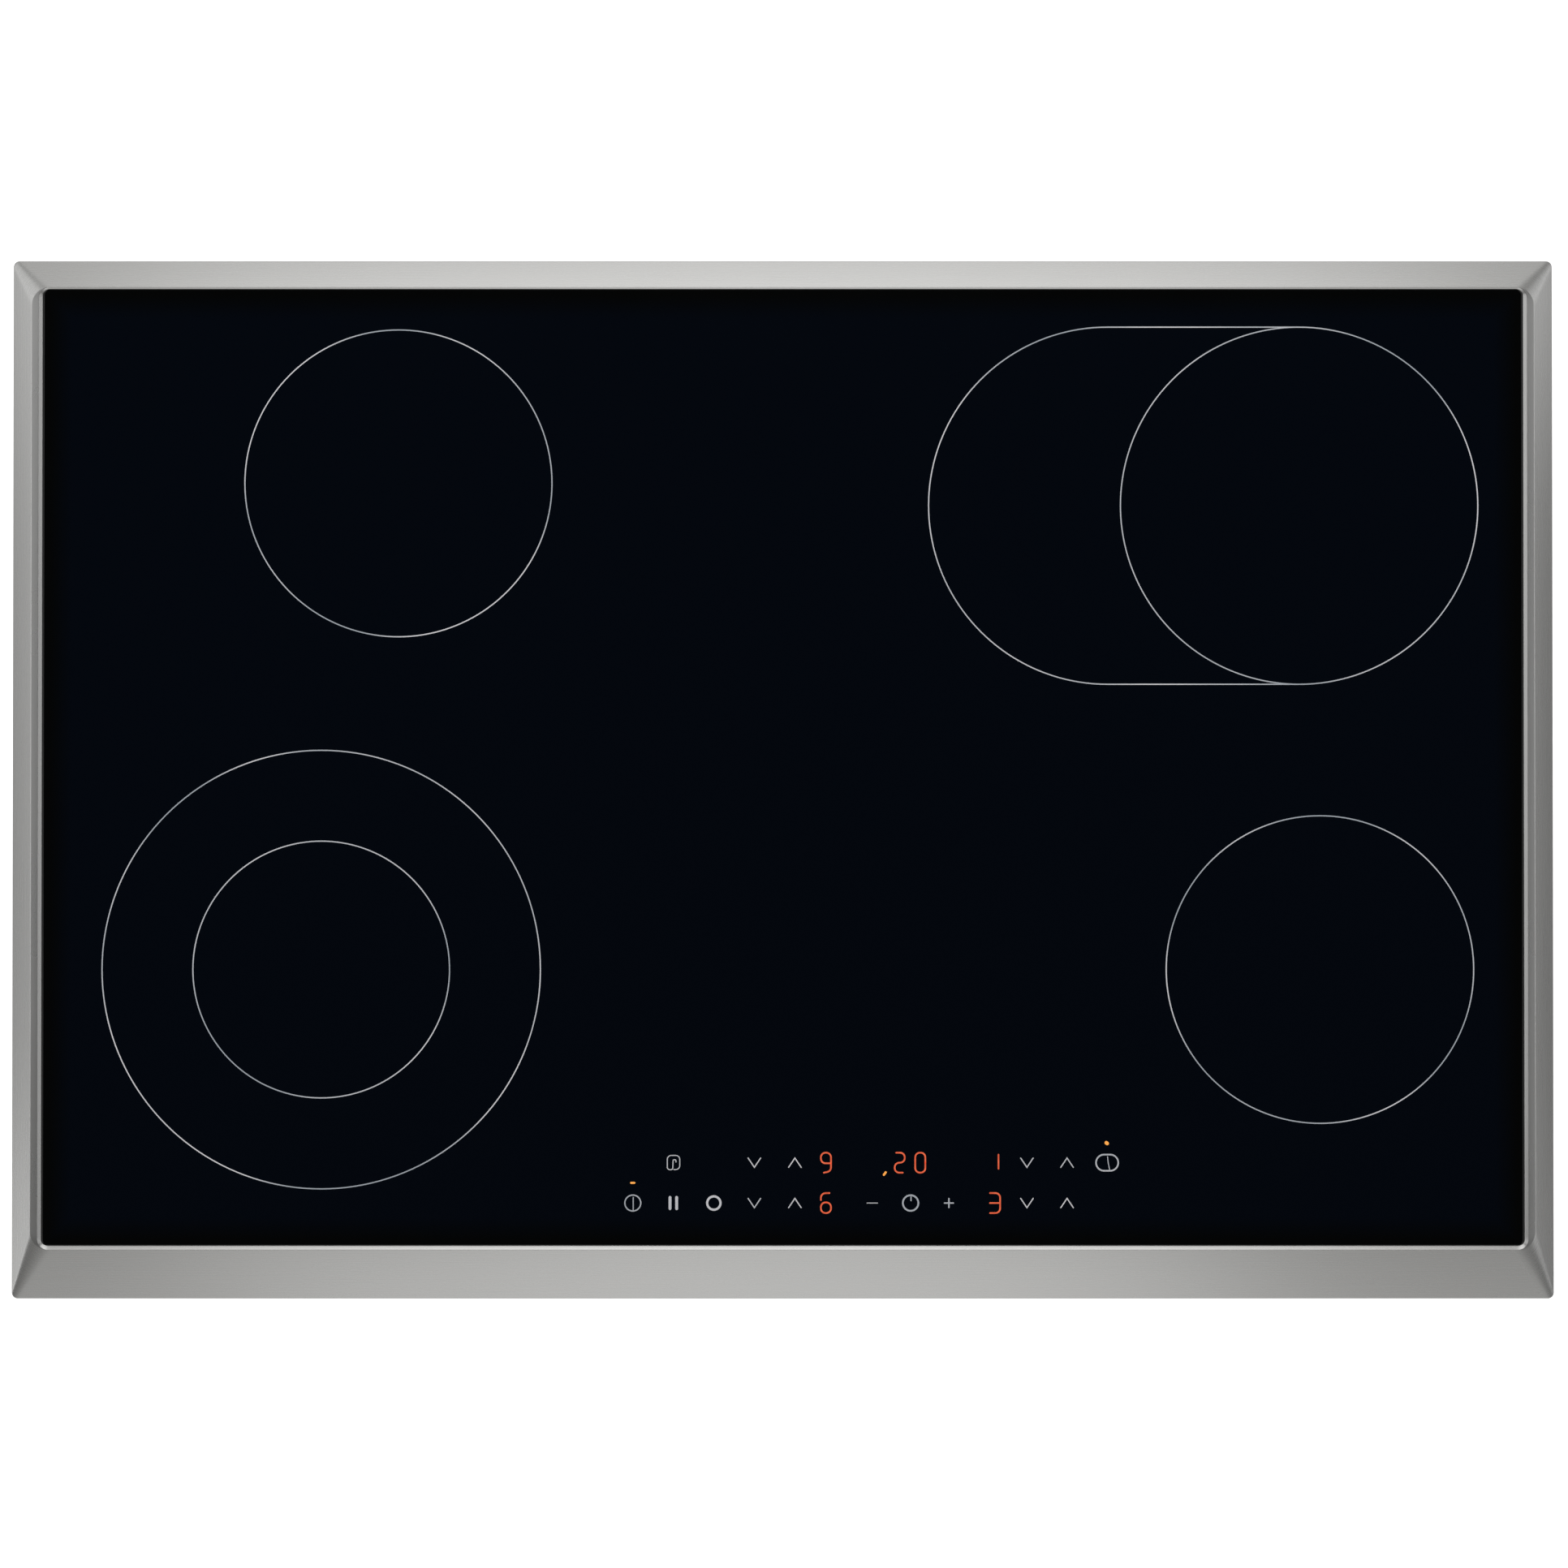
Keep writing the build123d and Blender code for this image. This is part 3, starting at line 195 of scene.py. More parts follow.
def shade(tree, shader, pattern, dark, light, rough=None, bump=None):
    """Lets a pattern from 0 to 1 drive the colour and, if asked, the roughness and the relief in mm."""
    colour = add(tree, "MixRGB", {"Fac": pattern, "Color1": linear(dark), "Color2": linear(light)})
    tree.links.new(colour.outputs["Color"], shader.inputs["Base Color"])
    if rough:
        spread = add(tree, "MapRange", {"Value": pattern, "To Min": rough[0], "To Max": rough[1]})
        tree.links.new(spread.outputs["Result"], shader.inputs["Roughness"])
    if bump:
        relief = add(tree, "Bump", {"Height": pattern, "Distance": bump * MM, "Strength": 1.0})
        tree.links.new(relief.outputs["Normal"], shader.inputs["Normal"])


def brushed_stainless():
    """Stainless sheet, belt-brushed along each rail: a soft shine that is longest across the lines."""
    finish = {"Metallic": 1.0, "Anisotropic": 0.7, "Anisotropic_Rotation": 0.25}
    made, tree, shader, _ = start("brushed_stainless", **finish)
    along = add(tree, "UVMap", {}, uv_map="brush").outputs["UV"]
    # real lines are 0.1 mm wide; these are drawn 0.5 mm wide so that they show
    lines = add(tree, "VectorMath", {0: along, 1: (per(70), per(0.5), 1)}, operation="MULTIPLY")
    grain = add(tree, "TexNoise", {"Vector": lines.outputs[0], "Scale": 1.0, "Detail": 3.0})
    shade(tree, shader, grain.outputs["Fac"], "#C5C5C4", "#CBCBCA", (0.265, 0.285), 0.0002)
    tangent = add(tree, "Tangent", {}, direction_type="UV_MAP", uv_map="brush")
    tree.links.new(tangent.outputs["Tangent"], shader.inputs["Tangent"])
    return made


def black_glass_ceramic():
    """Fired black glass-ceramic: a deep blue-black gloss, drawn blacker in a band along its edge."""
    made, tree, shader, place = start("black_glass_ceramic", IOR=1.54)
    low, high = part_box("glass_panel")
    middle = (low + high) / 2
    half = (high - low) / 2
    centred = add(tree, "VectorMath", {0: place, 1: middle}, operation="SUBTRACT")
    size = add(tree, "VectorMath", {0: centred.outputs[0]}, operation="ABSOLUTE")
    margin = add(tree, "VectorMath", {0: half, 1: size.outputs[0]}, operation="SUBTRACT")
    sides = add(tree, "SeparateXYZ", {"Vector": margin.outputs[0]})
    edge = add(tree, "Math", {0: sides.outputs["X"], 1: sides.outputs["Y"]}, operation="MINIMUM")
    # the glass is drawn blacker near its edge, and this fades out across the band
    begin, end = (distance * MM for distance in DARKER_GLASS_BAND)
    inside = add(tree, "MapRange", {"Value": edge.outputs[0], "From Min": begin, "From Max": end})
    shade(tree, shader, inside.outputs["Result"], "#000101", "#000611")
    # a cloth leaves faint broad smears, which only show as a change of gloss
    smear = add(tree, "TexNoise", {"Vector": place, "Scale": per(45), "Detail": 2.0})
    gloss = add(tree, "MapRange", {"Value": smear.outputs["Fac"], "To Min": 0.03, "To Max": 0.07})
    tree.links.new(gloss.outputs["Result"], shader.inputs["Roughness"])
    return made


def screen_print():
    """Ceramic ink fired on the glass: flat pale grey, broken up by the screen's mesh."""
    made, tree, shader, place = start("fired_screen_print")
    # the ink is laid on more thickly in some places than in others
    dose = add(tree, "TexNoise", {"Vector": place, "Scale": per(55), "Detail": 0.0})
    # a print screen's mesh is 0.1 mm; drawn at 0.4 mm
    mesh = add(tree, "TexNoise", {"Vector": place, "Scale": per(0.4), "Detail": 1.0})
    parts = {0: mesh.outputs["Fac"], 1: 0.25, 2: dose.outputs["Fac"]}
    cover = add(tree, "Math", parts, operation="MULTIPLY_ADD")
    shown = add(tree, "MapRange", {"Value": cover.outputs[0], "From Min": 0.45, "From Max": 0.8})
    shade(tree, shader, shown.outputs["Result"], "#C1C9D3", "#FBFAFF", (0.5, 0.65))
    return made


def lit_plastic(name, dim, bright, glow):
    """A light seen through the glass: it glows by itself, a little unevenly."""
    made, tree, shader, place = start(name, Roughness=0.3)
    patch = add(tree, "TexNoise", {"Vector": place, "Scale": per(3), "Detail": 1.0})
    shade(tree, shader, patch.outputs["Fac"], dim, bright)
    colour = shader.inputs["Base Color"].links[0].from_socket
    tree.links.new(colour, shader.inputs["Emission Color"])
    shader.inputs["Emission Strength"].default_value = glow
    return made


def galvanised_sheet():
    """Hot-dip galvanised sheet: small grey zinc crystals, each with its own dull shine."""
    made, tree, shader, place = start("galvanised_sheet", Metallic=1.0)
    spangle = add(tree, "TexVoronoi", {"Vector": place, "Scale": per(6), "Randomness": 1.0})
    level = add(tree, "SeparateColor", {"Color": spangle.outputs["Color"]}).outputs["Red"]
    frost = add(tree, "TexNoise", {"Vector": place, "Scale": per(2.5), "Detail": 3.0})
    mixed = add(tree, "Math", {0: level, 1: 0.5, 2: frost.outputs["Fac"]}, operation="MULTIPLY_ADD")
    shown = add(tree, "MapRange", {"Value": mixed.outputs[0], "From Min": 0.3, "From Max": 1.2})
    shade(tree, shader, shown.outputs["Result"], "#A4A7A8", "#BBBDBD", (0.36, 0.48))
    return made


def plated_steel(name, dark, light, grain, rough):
    """Zinc-plated or tempered steel parts: a bright skin with a fine tumbled grain."""
    made, tree, shader, place = start(name, Metallic=1.0)
    cloud = add(tree, "TexNoise", {"Vector": place, "Scale": per(grain), "Detail": 4.0})
    shade(tree, shader, cloud.outputs["Fac"], dark, light, rough, 0.01)
    return made


def moulded_plastic(name, dark, light, grain, rough):
    """Injection-moulded plastic with a fine spark-eroded grain."""
    made, tree, shader, place = start(name)
    pores = add(tree, "TexNoise", {"Vector": place, "Scale": per(grain), "Detail": 2.0})
    shade(tree, shader, pores.outputs["Fac"], dark, light, rough, 0.03)
    return made


def cellular_foam(name, dark, light, cell):
    """Closed-cell foam: matt, with the rims of its cells a little lighter."""
    made, tree, shader, place = start(name)
    cells = add(tree, "TexVoronoi", {"Vector": place, "Scale": per(cell)})
    shade(tree, shader, cells.outputs["Distance"], light, dark, (0.85, 0.95), 0.1)
    return made


def streaked(name, dark, light, length, width, rough, **values):
    """Anything drawn, rolled, wound or laid in lines along X: streaks of a length and a width."""
    made, tree, shader, place = start(name, **values)
    scale = (per(length), per(width), per(width))
    lines = add(tree, "VectorMath", {0: place, 1: scale}, operation="MULTIPLY")
    streak = add(tree, "TexNoise", {"Vector": lines.outputs[0], "Scale": 1.0, "Detail": 3.0})
    shade(tree, shader, streak.outputs["Fac"], dark, light, rough, 0.02)
    return made


def clear_quartz():
    """Drawn quartz tube: clear, with faint lines along it."""
    made, tree, shader, place = start("clear_quartz", IOR=1.46, Transmission_Weight=1.0)
    haze = add(tree, "TexNoise", {"Vector": place, "Scale": per(4)})
    shade(tree, shader, haze.outputs["Fac"], "#DDE4E6", "#F4F7F8", (0.03, 0.12))
    return made


def solder_masked_board():
    """Green solder mask over copper tracks, which show as lighter lines."""
    made, tree, shader, place = start("solder_masked_board", IOR=1.5)
    tracks = add(tree, "TexBrick", {"Vector": place, "Scale": per(8), "Mortar Size": 0.05}, offset=0.5)
    shade(tree, shader, tracks.outputs["Fac"], "#0E4A2A", "#1E6B3F", (0.25, 0.35), 0.03)
    return made


def laminated_core():
    """Varnished transformer plates: stacked bands from dark to light brown."""
    made, tree, shader, place = start("laminated_core", Metallic=0.4)
    # plates are 0.5 mm thick; a wave turns 20 radians to the unit, so these bands are drawn 6 mm wide
    plates = add(tree, "TexWave", {"Vector": place, "Scale": per(1) / 20}, bands_direction="Z")
    shade(tree, shader, plates.outputs["Fac"], "#5A4A2C", "#86734C", (0.35, 0.5), 0.05)
    return made


FINISHES = {
    "stainless_trim": brushed_stainless(),
    "ceramic_glass": black_glass_ceramic(),
    "silicone_sealant": moulded_plastic("black_silicone", "#0A0A0A", "#141414", 0.6, (0.5, 0.6)),
    "foam_gasket": cellular_foam("foam_strip", "#2A2B2B", "#3C3D3D", 0.9),
    "galvanised_sheet": galvanised_sheet(),
    "zinc_plated_steel": plated_steel("zinc_plated_steel", "#B9BAB4", "#D2D3CE", 2.5, (0.22, 0.38)),
    "spring_steel": plated_steel("tempered_spring_steel", "#7C8388", "#989EA2", 3.0, (0.3, 0.42)),
    "aluminised_sheet": plated_steel("aluminised_sheet", "#AFAFAC", "#C6C6C3", 6.0, (0.4, 0.55)),
    "fibre_insulation": streaked("pressed_mineral_fibre", "#D8D2C3", "#EFEBE0", 6, 0.4, (0.9, 1.0)),
    "heating_ribbon": streaked(
        "oxidised_heating_alloy", "#3B3835", "#55504B", 20, 0.5, (0.5, 0.7), Metallic=0.8
    ),
    "quartz_tube": clear_quartz(),
    "steatite": moulded_plastic("unglazed_steatite", "#D2C7B2", "#E6DDCB", 0.8, (0.55, 0.7)),
    "circuit_board": solder_masked_board(),
    "grey_plastic": moulded_plastic("grey_glass_filled_nylon", "#6E7072", "#7C7E80", 0.7, (0.5, 0.65)),
    "display_plastic": moulded_plastic("red_filter_acrylic", "#2A0706", "#3A0B09", 4.0, (0.12, 0.2)),
    "clear_plastic": moulded_plastic("amber_light_guide", "#C9853F", "#E0A25C", 3.0, (0.1, 0.2)),
    "sensor_foam": cellular_foam("conductive_foam", "#232323", "#343434", 0.7),
    "relay_plastic": moulded_plastic("black_relay_polyester", "#16181B", "#202327", 1.2, (0.3, 0.42)),
    "transformer_core": laminated_core(),
    "terminal_brass": streaked("drawn_brass", "#B48A3C", "#D0A858", 12, 0.3, (0.25, 0.4), Metallic=1.0),
    "black_plastic": moulded_plastic("black_polyamide", "#141415", "#1E1E20", 0.8, (0.45, 0.6)),
    "white_plastic": moulded_plastic("white_melamine", "#DAD7CD", "#E9E6DE", 1.0, (0.35, 0.5)),
    "wire_sleeve": streaked("glass_fibre_sleeve", "#C9C5B9", "#E2DFD6", 3, 0.5, (0.7, 0.85)),
    "screen_print": screen_print(),
    "digit_light": lit_plastic("red_digit_light", "#A8341C", "#E26C48", 0.72),
    "lamp_light": lit_plastic("orange_lamp_light", "#D58836", "#EEA552", 0.75),
}


def dress_nodes():
    """Gives every CAD node the finish of its material slot."""
    for part in frame["record"]["subparts"]:
        mesh = frame["nodes"][part["node"]].data
        mesh.materials.clear()
        mesh.materials.append(FINISHES[part["material_slot"]])


# Shapes

STRAIGHT = 1e-6  # radians; a line that turns by less has no corner


def place_piece(name, mesh, slot, body="root"):
    """Puts a mesh in the scene as a piece of the object, with its slot's finish."""
    piece = bpy.data.objects.new(name, mesh)
    scene.collection.objects.link(piece)
    mesh.materials.append(FINISHES[slot])
    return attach(piece, body)


def arc(x, y, radius, begin, end, steps):
    """Points on an arc, from one angle to another in degrees."""
    angles = [radians(begin + (end - begin) * i / steps) for i in range(steps + 1)]
    return [Vector((x + radius * cos(a), y + radius * sin(a))) for a in angles]


def rounded(points, radii, steps):
    """A line through points with each inner corner turned into an arc of a fixed number of steps."""
    line = [Vector(points[0])]
    for i in range(1, len(points) - 1):
        before, corner, after = (Vector(p) for p in points[i - 1:i + 2])
        into, out = (corner - before).normalized(), (after - corner).normalized()
        turn = into.angle_signed(out)
        if radii[i] == 0 or abs(turn) < STRAIGHT:
            line.append(corner)
            continue
        reach = radii[i] * tan(abs(turn) / 2)
        side = Vector((into.y, -into.x)) * (1 if turn > 0 else -1)
        centre = corner - into * reach + side * radii[i]
        for k in range(steps + 1):
            angle = abs(turn) * (k / steps)
            line.append(centre - side * radii[i] * cos(angle) + into * radii[i] * sin(angle))
    return line + [Vector(points[-1])]


def heading(direction):
    """The direction's angle from +X, in degrees."""
    return atan2(direction.y, direction.x) * 180 / pi


def stroke_outline(line, width):
    """The outline of a pen stroke along a line, with round ends and mitred corners."""
    half = width / 2
    left, right = [], []
    for i, point in enumerate(line):
        into = (point - line[i - 1]).normalized() if i else (line[1] - point).normalized()
        out = (line[i + 1] - point).normalized() if i + 1 < len(line) else into
        middle = (into + out).normalized()
        normal = Vector((-middle.y, middle.x)) * half / max(middle.dot(into), MITRE_LIMIT)
        left.append(point + normal)
        right.append(point - normal)
    first, last = heading(line[1] - line[0]), heading(line[-1] - line[-2])
    end_cap = arc(*line[-1], half, last + 90, last - 90, CAP_STEPS)
    start_cap = arc(*line[0], half, first + 270, first + 90, CAP_STEPS)
    return left + end_cap[1:-1] + right[::-1] + start_cap[1:-1]


def add_strip(shell, lower, upper):
    """Adds the faces between two closed loops with as many points."""
    turned = [loop[1:] + loop[:1] for loop in (lower, upper)]
    for corners in zip(lower, turned[0], turned[1], upper):
        shell.faces.new(corners)


def print_mesh(name, strokes, rings, base):
    """A thin layer of print: open strokes as (line, width), and rings as (outer line, inner line)."""
    layer = bmesh.new()
    shapes = [[stroke_outline(line, width)] for line, width in strokes]
    shapes += [list(edges) for edges in rings]
    for i, outlines in enumerate(shapes):
        # where strokes cross, the later ink lies a hair higher
        top = base + (PRINT_THICKNESS + INK_STEP * i) * MM
        levels = []
        for z in (base, top):
            loops = [[layer.verts.new((p.x * MM, p.y * MM, z)) for p in outline] for outline in outlines]
            if len(loops) == 1:
                layer.faces.new(loops[0])
            else:
                add_strip(layer, *loops)
            levels.append(loops)
        for lower, upper in zip(*levels):
            add_strip(layer, lower, upper)
    bmesh.ops.triangulate(layer, faces=[f for f in layer.faces if len(f.verts) > 4])
    bmesh.ops.recalc_face_normals(layer, faces=layer.faces[:])
    mesh = bpy.data.meshes.new(name)
    layer.to_mesh(mesh)
    layer.free()
    return mesh


def ring(x, y, radius, width, steps=RING_STEPS):
    """The two edges of a circular line."""
    half = width / 2
    return tuple(arc(x, y, radius + side, 0, 360, steps)[:-1] for side in (half, -half))


glass_low, glass_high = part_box("glass_panel")
glass_top = glass_high.z


def heater(zone):
    """Middle, outline radius and reach to the left of a heater's printed zone, in millimetres."""
    low, high = (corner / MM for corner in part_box(f"insulation_base_{zone}"))
    radius = (high.y - low.y) / 2
    reach = high.x - low.x - 2 * radius
    shift = FRONT_LEFT_SHIFT if zone == "front_left" else 0
    return high.x - radius + shift, (low.y + high.y) / 2, radius - ZONE_LINE_INSIDE_HEATER, reach


def oval(x, y, radius, reach, width):
    """The two edges of a line round a slot that reaches to the left."""
    steps = RING_STEPS // 2
    edges = []
    for edge in (radius + width / 2, radius - width / 2):
        edges.append(arc(x, y, edge, -90, 90, steps) + arc(x - reach, y, edge, 90, 270, steps))
    return tuple(edges)


def make_zone_print():
    """The thin lines that mark the four cooking zones."""
    rings = []
    for zone in ("rear_left", "front_left", "front_right"):
        x, y, radius, _ = heater(zone)
        rings.append(ring(x, y, radius, ZONE_LINE))
    x, y, _, _ = heater("front_left")
    rings.append(ring(x, y, INNER_ZONE_RADIUS, ZONE_LINE))
    x, y, radius, reach = heater("rear_right")
    rings.append(oval(x, y, radius, reach, ZONE_LINE))
    inner = [(arc(x, y, radius, 90, 270, RING_STEPS * 3 // 4), ZONE_LINE)]
    place_piece("zone_lines", print_mesh("zone_lines", inner, rings, glass_top), "screen_print")


front_row = glass_low.y / MM + FRONT_ROW
rear_row = front_row + ROW_PITCH


def shifted(points, x, y):
    """The points, moved to the right and to the back."""
    return [Vector(p) + Vector((x, y)) for p in points]


def chevron(x, y, up):
    """An arrow key: two short lines that meet in a point."""
    rise = CHEVRON_RISE * up
    return shifted([(-CHEVRON_WING, -rise), (0, rise), (CHEVRON_WING, -rise)], x, y)


def bar(x, y, dx, dy):
    """A straight line about its middle."""
    return shifted([(-dx / 2, -dy / 2), (dx / 2, dy / 2)], x, y)


def make_key_print():
    """The signs on the touch keys, as plain strokes."""
    columns = [LEFT_COLUMN + LEFT_PITCH * i for i in range(5)]
    right = [RIGHT_COLUMN + RIGHT_PITCH * i for i in range(3)]
    strokes = []
    rings = []

    def add_bar(size, x, y, across=False):
        length, line = size
        strokes.append((bar(x, y, length, 0) if across else bar(x, y, 0, length), line))

    # power: a circle with an upright bar
    rings.append(ring(columns[0], front_row, *POWER_RING, SIGN_STEPS))
    add_bar(POWER_BAR, columns[0] + POWER_BAR_AT[0], front_row + POWER_BAR_AT[1])
    # lock: a rounded body with the hook of its shackle
    lock = rounded(LOCK_POINTS, LOCK_RADII, BEND_STEPS)
    strokes.append((shifted(lock, columns[1], rear_row), LOCK_LINE))
    # pause: two bars
    for side in (-PAUSE_HALF, PAUSE_HALF):
        add_bar(PAUSE_BAR, columns[1] + side, front_row)
    # second circuit: a heavy ring
    rings.append(ring(columns[2], front_row, *CIRCUIT_RING, SIGN_STEPS))
    # less and more, for each zone
    for row in (front_row, rear_row):
        for less, more in ((columns[3], columns[4]), (right[0], right[1])):
            strokes.append((chevron(less, row, -1), CHEVRON_LINE))
            strokes.append((chevron(more, row, 1), CHEVRON_LINE))
    # timer: minus, a clock with its hand, plus
    add_bar(MINUS_BAR, TIMER_X - TIMER_PITCH, front_row, across=True)
    rings.append(ring(TIMER_X, front_row, *CLOCK_RING, SIGN_STEPS))
    add_bar(CLOCK_HAND, TIMER_X + CLOCK_HAND_AT[0], front_row + CLOCK_HAND_AT[1])
    for across in (True, False):
        add_bar(PLUS_BAR, TIMER_X + TIMER_PITCH, front_row, across)
    # oval zone: a wide oval with a line across
    rings.append(oval(right[2] + OVAL_REACH / 2, rear_row, OVAL_RADIUS, OVAL_REACH, OVAL_LINE))
    strokes.append((shifted(OVAL_MARK, right[2], rear_row), OVAL_MARK_LINE))
    place_piece("key_signs", print_mesh("key_signs", strokes, rings, glass_top), "screen_print")


# Lines of the lit digits, on a grid from -1 to 1 both ways
DIGIT_LINES = {
    "0": [[(1, 0), (1, 1), (-1, 1), (-1, -1), (1, -1), (1, 0)]],
    "1": [[(0.68, 0.8), (0.68, -0.6)]],
    "2": [[(-0.7, 1), (1, 1), (1, 0), (-1, 0), (-1, -1), (0.6, -1)]],
    "3": [[(-1, 1), (1, 1), (1, -1), (-1, -1)], [(-1, 0), (0.8, 0)]],
    "6": [
        [(0.7, 1), (-1, 0.98), (-1, 0.3)],
        [(0, 0.06), (1, 0.06), (1, -1), (-1, -1), (-1, 0.06), (0, 0.06)],
    ],
    "9": [[(0.9, -0.06), (-1, -0.06), (-1, 1), (1, 1), (1, -0.85), (-0.4, -1)]],
}


def make_digits():
    """The lit settings of the four zones and of the timer."""
    shown = [("9", LEFT_DIGITS, rear_row), ("6", LEFT_DIGITS, front_row)]
    shown += [("1", RIGHT_DIGITS, rear_row), ("3", RIGHT_DIGITS, front_row)]
    shown += [("2", TIMER_DIGITS[0], rear_row), ("0", TIMER_DIGITS[1], rear_row)]
    strokes = []
    for digit, x, y in shown:
        for line in DIGIT_LINES[digit]:
            points = [(px * DIGIT_WIDTH / 2, py * DIGIT_HEIGHT / 2) for px, py in line]
            smooth = rounded(points, [DIGIT_CORNER] * len(points), BEND_STEPS)
            strokes.append((shifted(smooth, x, y), DIGIT_LINE))
    place_piece("lit_digits", print_mesh("lit_digits", strokes, [], glass_top), "digit_light")


def make_lamps():
    """The lit lamps: power, the zone that the timer runs on, and the oval zone."""
    # the oval zone's guide is the one furthest right and back
    _, high = (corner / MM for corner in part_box("lamp_guides"))
    lamps = [
        (LEFT_COLUMN, (front_row + rear_row) / 2, POWER_LAMP),
        (TIMER_LAMP_X, rear_row - TIMER_LAMP_BEFORE_ROW, TIMER_LAMP),
        (high.x - LAMP_GUIDE_HALF[0], high.y - LAMP_GUIDE_HALF[1], OVAL_LAMP),
    ]
    strokes = [(bar(x, y, dx, dy), width) for x, y, (dx, dy, width) in lamps]
    place_piece("lit_lamps", print_mesh("lit_lamps", strokes, [], glass_top), "lamp_light")


# Trim frame


def rail_section(rail):
    """The folded sheet across one rail, as a closed line of (distance from the outer edge, height)."""
    low, high = (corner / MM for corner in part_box("trim_frame"))
    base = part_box("worktop_gasket")[1].z / MM
    top, ledge = high.z, low.z + FRAME_SHEET
    lip = base + LIP_HEIGHT
    under = top - FRAME_SHEET
    crest = rail.width - rail.nose
    begin, end = (radians(slope) for slope in rail.slopes)
    reach = rail.nose / (cos(begin) + cos(end))
    middle = (crest + reach * cos(begin), top - reach * sin(begin))
    drop = reach * (sin(begin) + sin(end))
    inner = rail.width + LEDGE_WIDTH
    wall = rail.width - FRAME_SHEET
    points = [
        (RETURN_FLANGE, base), (0, base), (0, lip), (rail.bevel, top), (crest, top), middle,
        (rail.width, top - drop), (rail.width, ledge), (inner, ledge), (inner, low.z), (wall, low.z),
        (wall, under - drop), (crest - FRAME_SHEET, under), (rail.bevel - FRAME_SHEET, under),
        (FRAME_SHEET, lip - FRAME_SHEET / 2), (FRAME_SHEET, base + FRAME_SHEET),
        (RETURN_FLANGE, base + FRAME_SHEET),
    ]
    turn = NOSE_ROUNDING * reach / tan((end - begin) / 2)
    radii = [0, BASE_RADIUS, LIP_RADIUS, rail.fold, CREST_RADIUS, turn]
    radii += [0] * (len(points) - len(radii))
    return rounded(points, radii, FOLD_STEPS)


def corner_radius(distance):
    """Radius of the frame's corners, at a distance from the outer edge of a side rail."""
    if distance <= SIDE.bevel:
        return OUTER_CORNER + (FOLD_CORNER - OUTER_CORNER) * distance / SIDE.bevel
    if distance <= SIDE.width:
        share = (distance - SIDE.bevel) / (SIDE.width - SIDE.bevel)
        return FOLD_CORNER + (OPENING_CORNER - FOLD_CORNER) * share
    return OPENING_CORNER + (LEDGE_CORNER - OPENING_CORNER) * (distance - SIDE.width) / LEDGE_WIDTH


def frame_ring(side, front, rear):
    """One line round the frame through a point of each rail's section, as pairs of place and height."""
    low, high = (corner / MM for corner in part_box("trim_frame"))
    radius = corner_radius(side.x)
    line = []
    # for each corner: its side, the rail before it, the angle at which it begins, and the rail after it
    corners = ((1, front, -90, side), (1, side, 0, rear), (-1, rear, 90, side), (-1, side, 180, front))
    for x_sign, first, begin, second in corners:
        at_front = begin in (-90, 180)
        end = front if at_front else rear
        y = low.y + end.x + radius if at_front else high.y - end.x - radius
        x = x_sign * (high.x - side.x - radius)
        turn = arc(x, y, radius, begin, begin + 90, CORNER_STEPS)
        into = Vector((cos(radians(begin + 90)), sin(radians(begin + 90))))
        out = Vector((cos(radians(begin)), sin(radians(begin)))) * -1
        line.append((turn[0] - into * CORNER_SUPPORT, first.y))
        for i, point in enumerate(turn):
            share = i / CORNER_STEPS
            ease = share * share * (3 - 2 * share)
            line.append((point, first.y + (second.y - first.y) * ease))
        line.append((turn[-1] + out * CORNER_SUPPORT, second.y))
    return line


def make_trim_frame():
    """The bevelled frame with soft folds, as rings round the opening joined into one folded sheet."""
    sections = [rail_section(rail) for rail in (SIDE, FRONT, REAR)]
    rings = [frame_ring(*points) for points in zip(*sections)]
    shell = bmesh.new()
    brush = shell.loops.layers.uv.new("brush")
    loops = [[shell.verts.new((p.x * MM, p.y * MM, z * MM)) for p, z in line] for line in rings]
    count = len(loops[0])
    way = [0.0]
    for i in range(count):
        way.append(way[-1] + (loops[0][(i + 1) % count].co - loops[0][i].co).length)
    for k in range(len(loops)):
        lower, upper = loops[k], loops[(k + 1) % len(loops)]
        across = (upper[0].co - lower[0].co).length
        for i in range(count):
            j = (i + 1) % count
            face = shell.faces.new((lower[i], lower[j], upper[j], upper[i]))
            face.smooth = True
            # each strip lies 1 mm from the one before, so that the brush lines differ
            near, far = k * MM, k * MM + across
            places = ((way[i], near), (way[i + 1], near), (way[i + 1], far), (way[i], far))
            for corner, place in zip(face.loops, places):
                corner[brush].uv = place
    bmesh.ops.recalc_face_normals(shell, faces=shell.faces[:])
    if shell.calc_volume(signed=True) < 0:
        bmesh.ops.reverse_faces(shell, faces=shell.faces[:])
    mesh = bpy.data.meshes.new("trim_frame_sheet")
    shell.to_mesh(mesh)
    shell.free()
    mesh.set_sharp_from_angle(angle=radians(TRIM_SHARP_ANGLE))
    piece = place_piece("trim_frame_sheet", mesh, "stainless_trim")
    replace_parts(piece, "trim_frame")


# Fasteners and terminal cover

WELD = 0.001  # points of a node that are nearer than this are one
LEAST_RADIUS = 0.1  # of a rounded rectangle's corners
SHARP_ANGLE = 32
TURN_STEPS = 24
PAD_CORNER_STEPS = 4
UP, RIGHT = Vector((0, 0, 1)), Vector((1, 0, 0))
# Pan heads with a cross recess: height of the head and radius of the shank
PAN_HEADS = {"tray_screws": (2.2, 1.7), "cord_clamp_screws": (2.0, 1.6), "terminal_screws": (2.0, 0)}
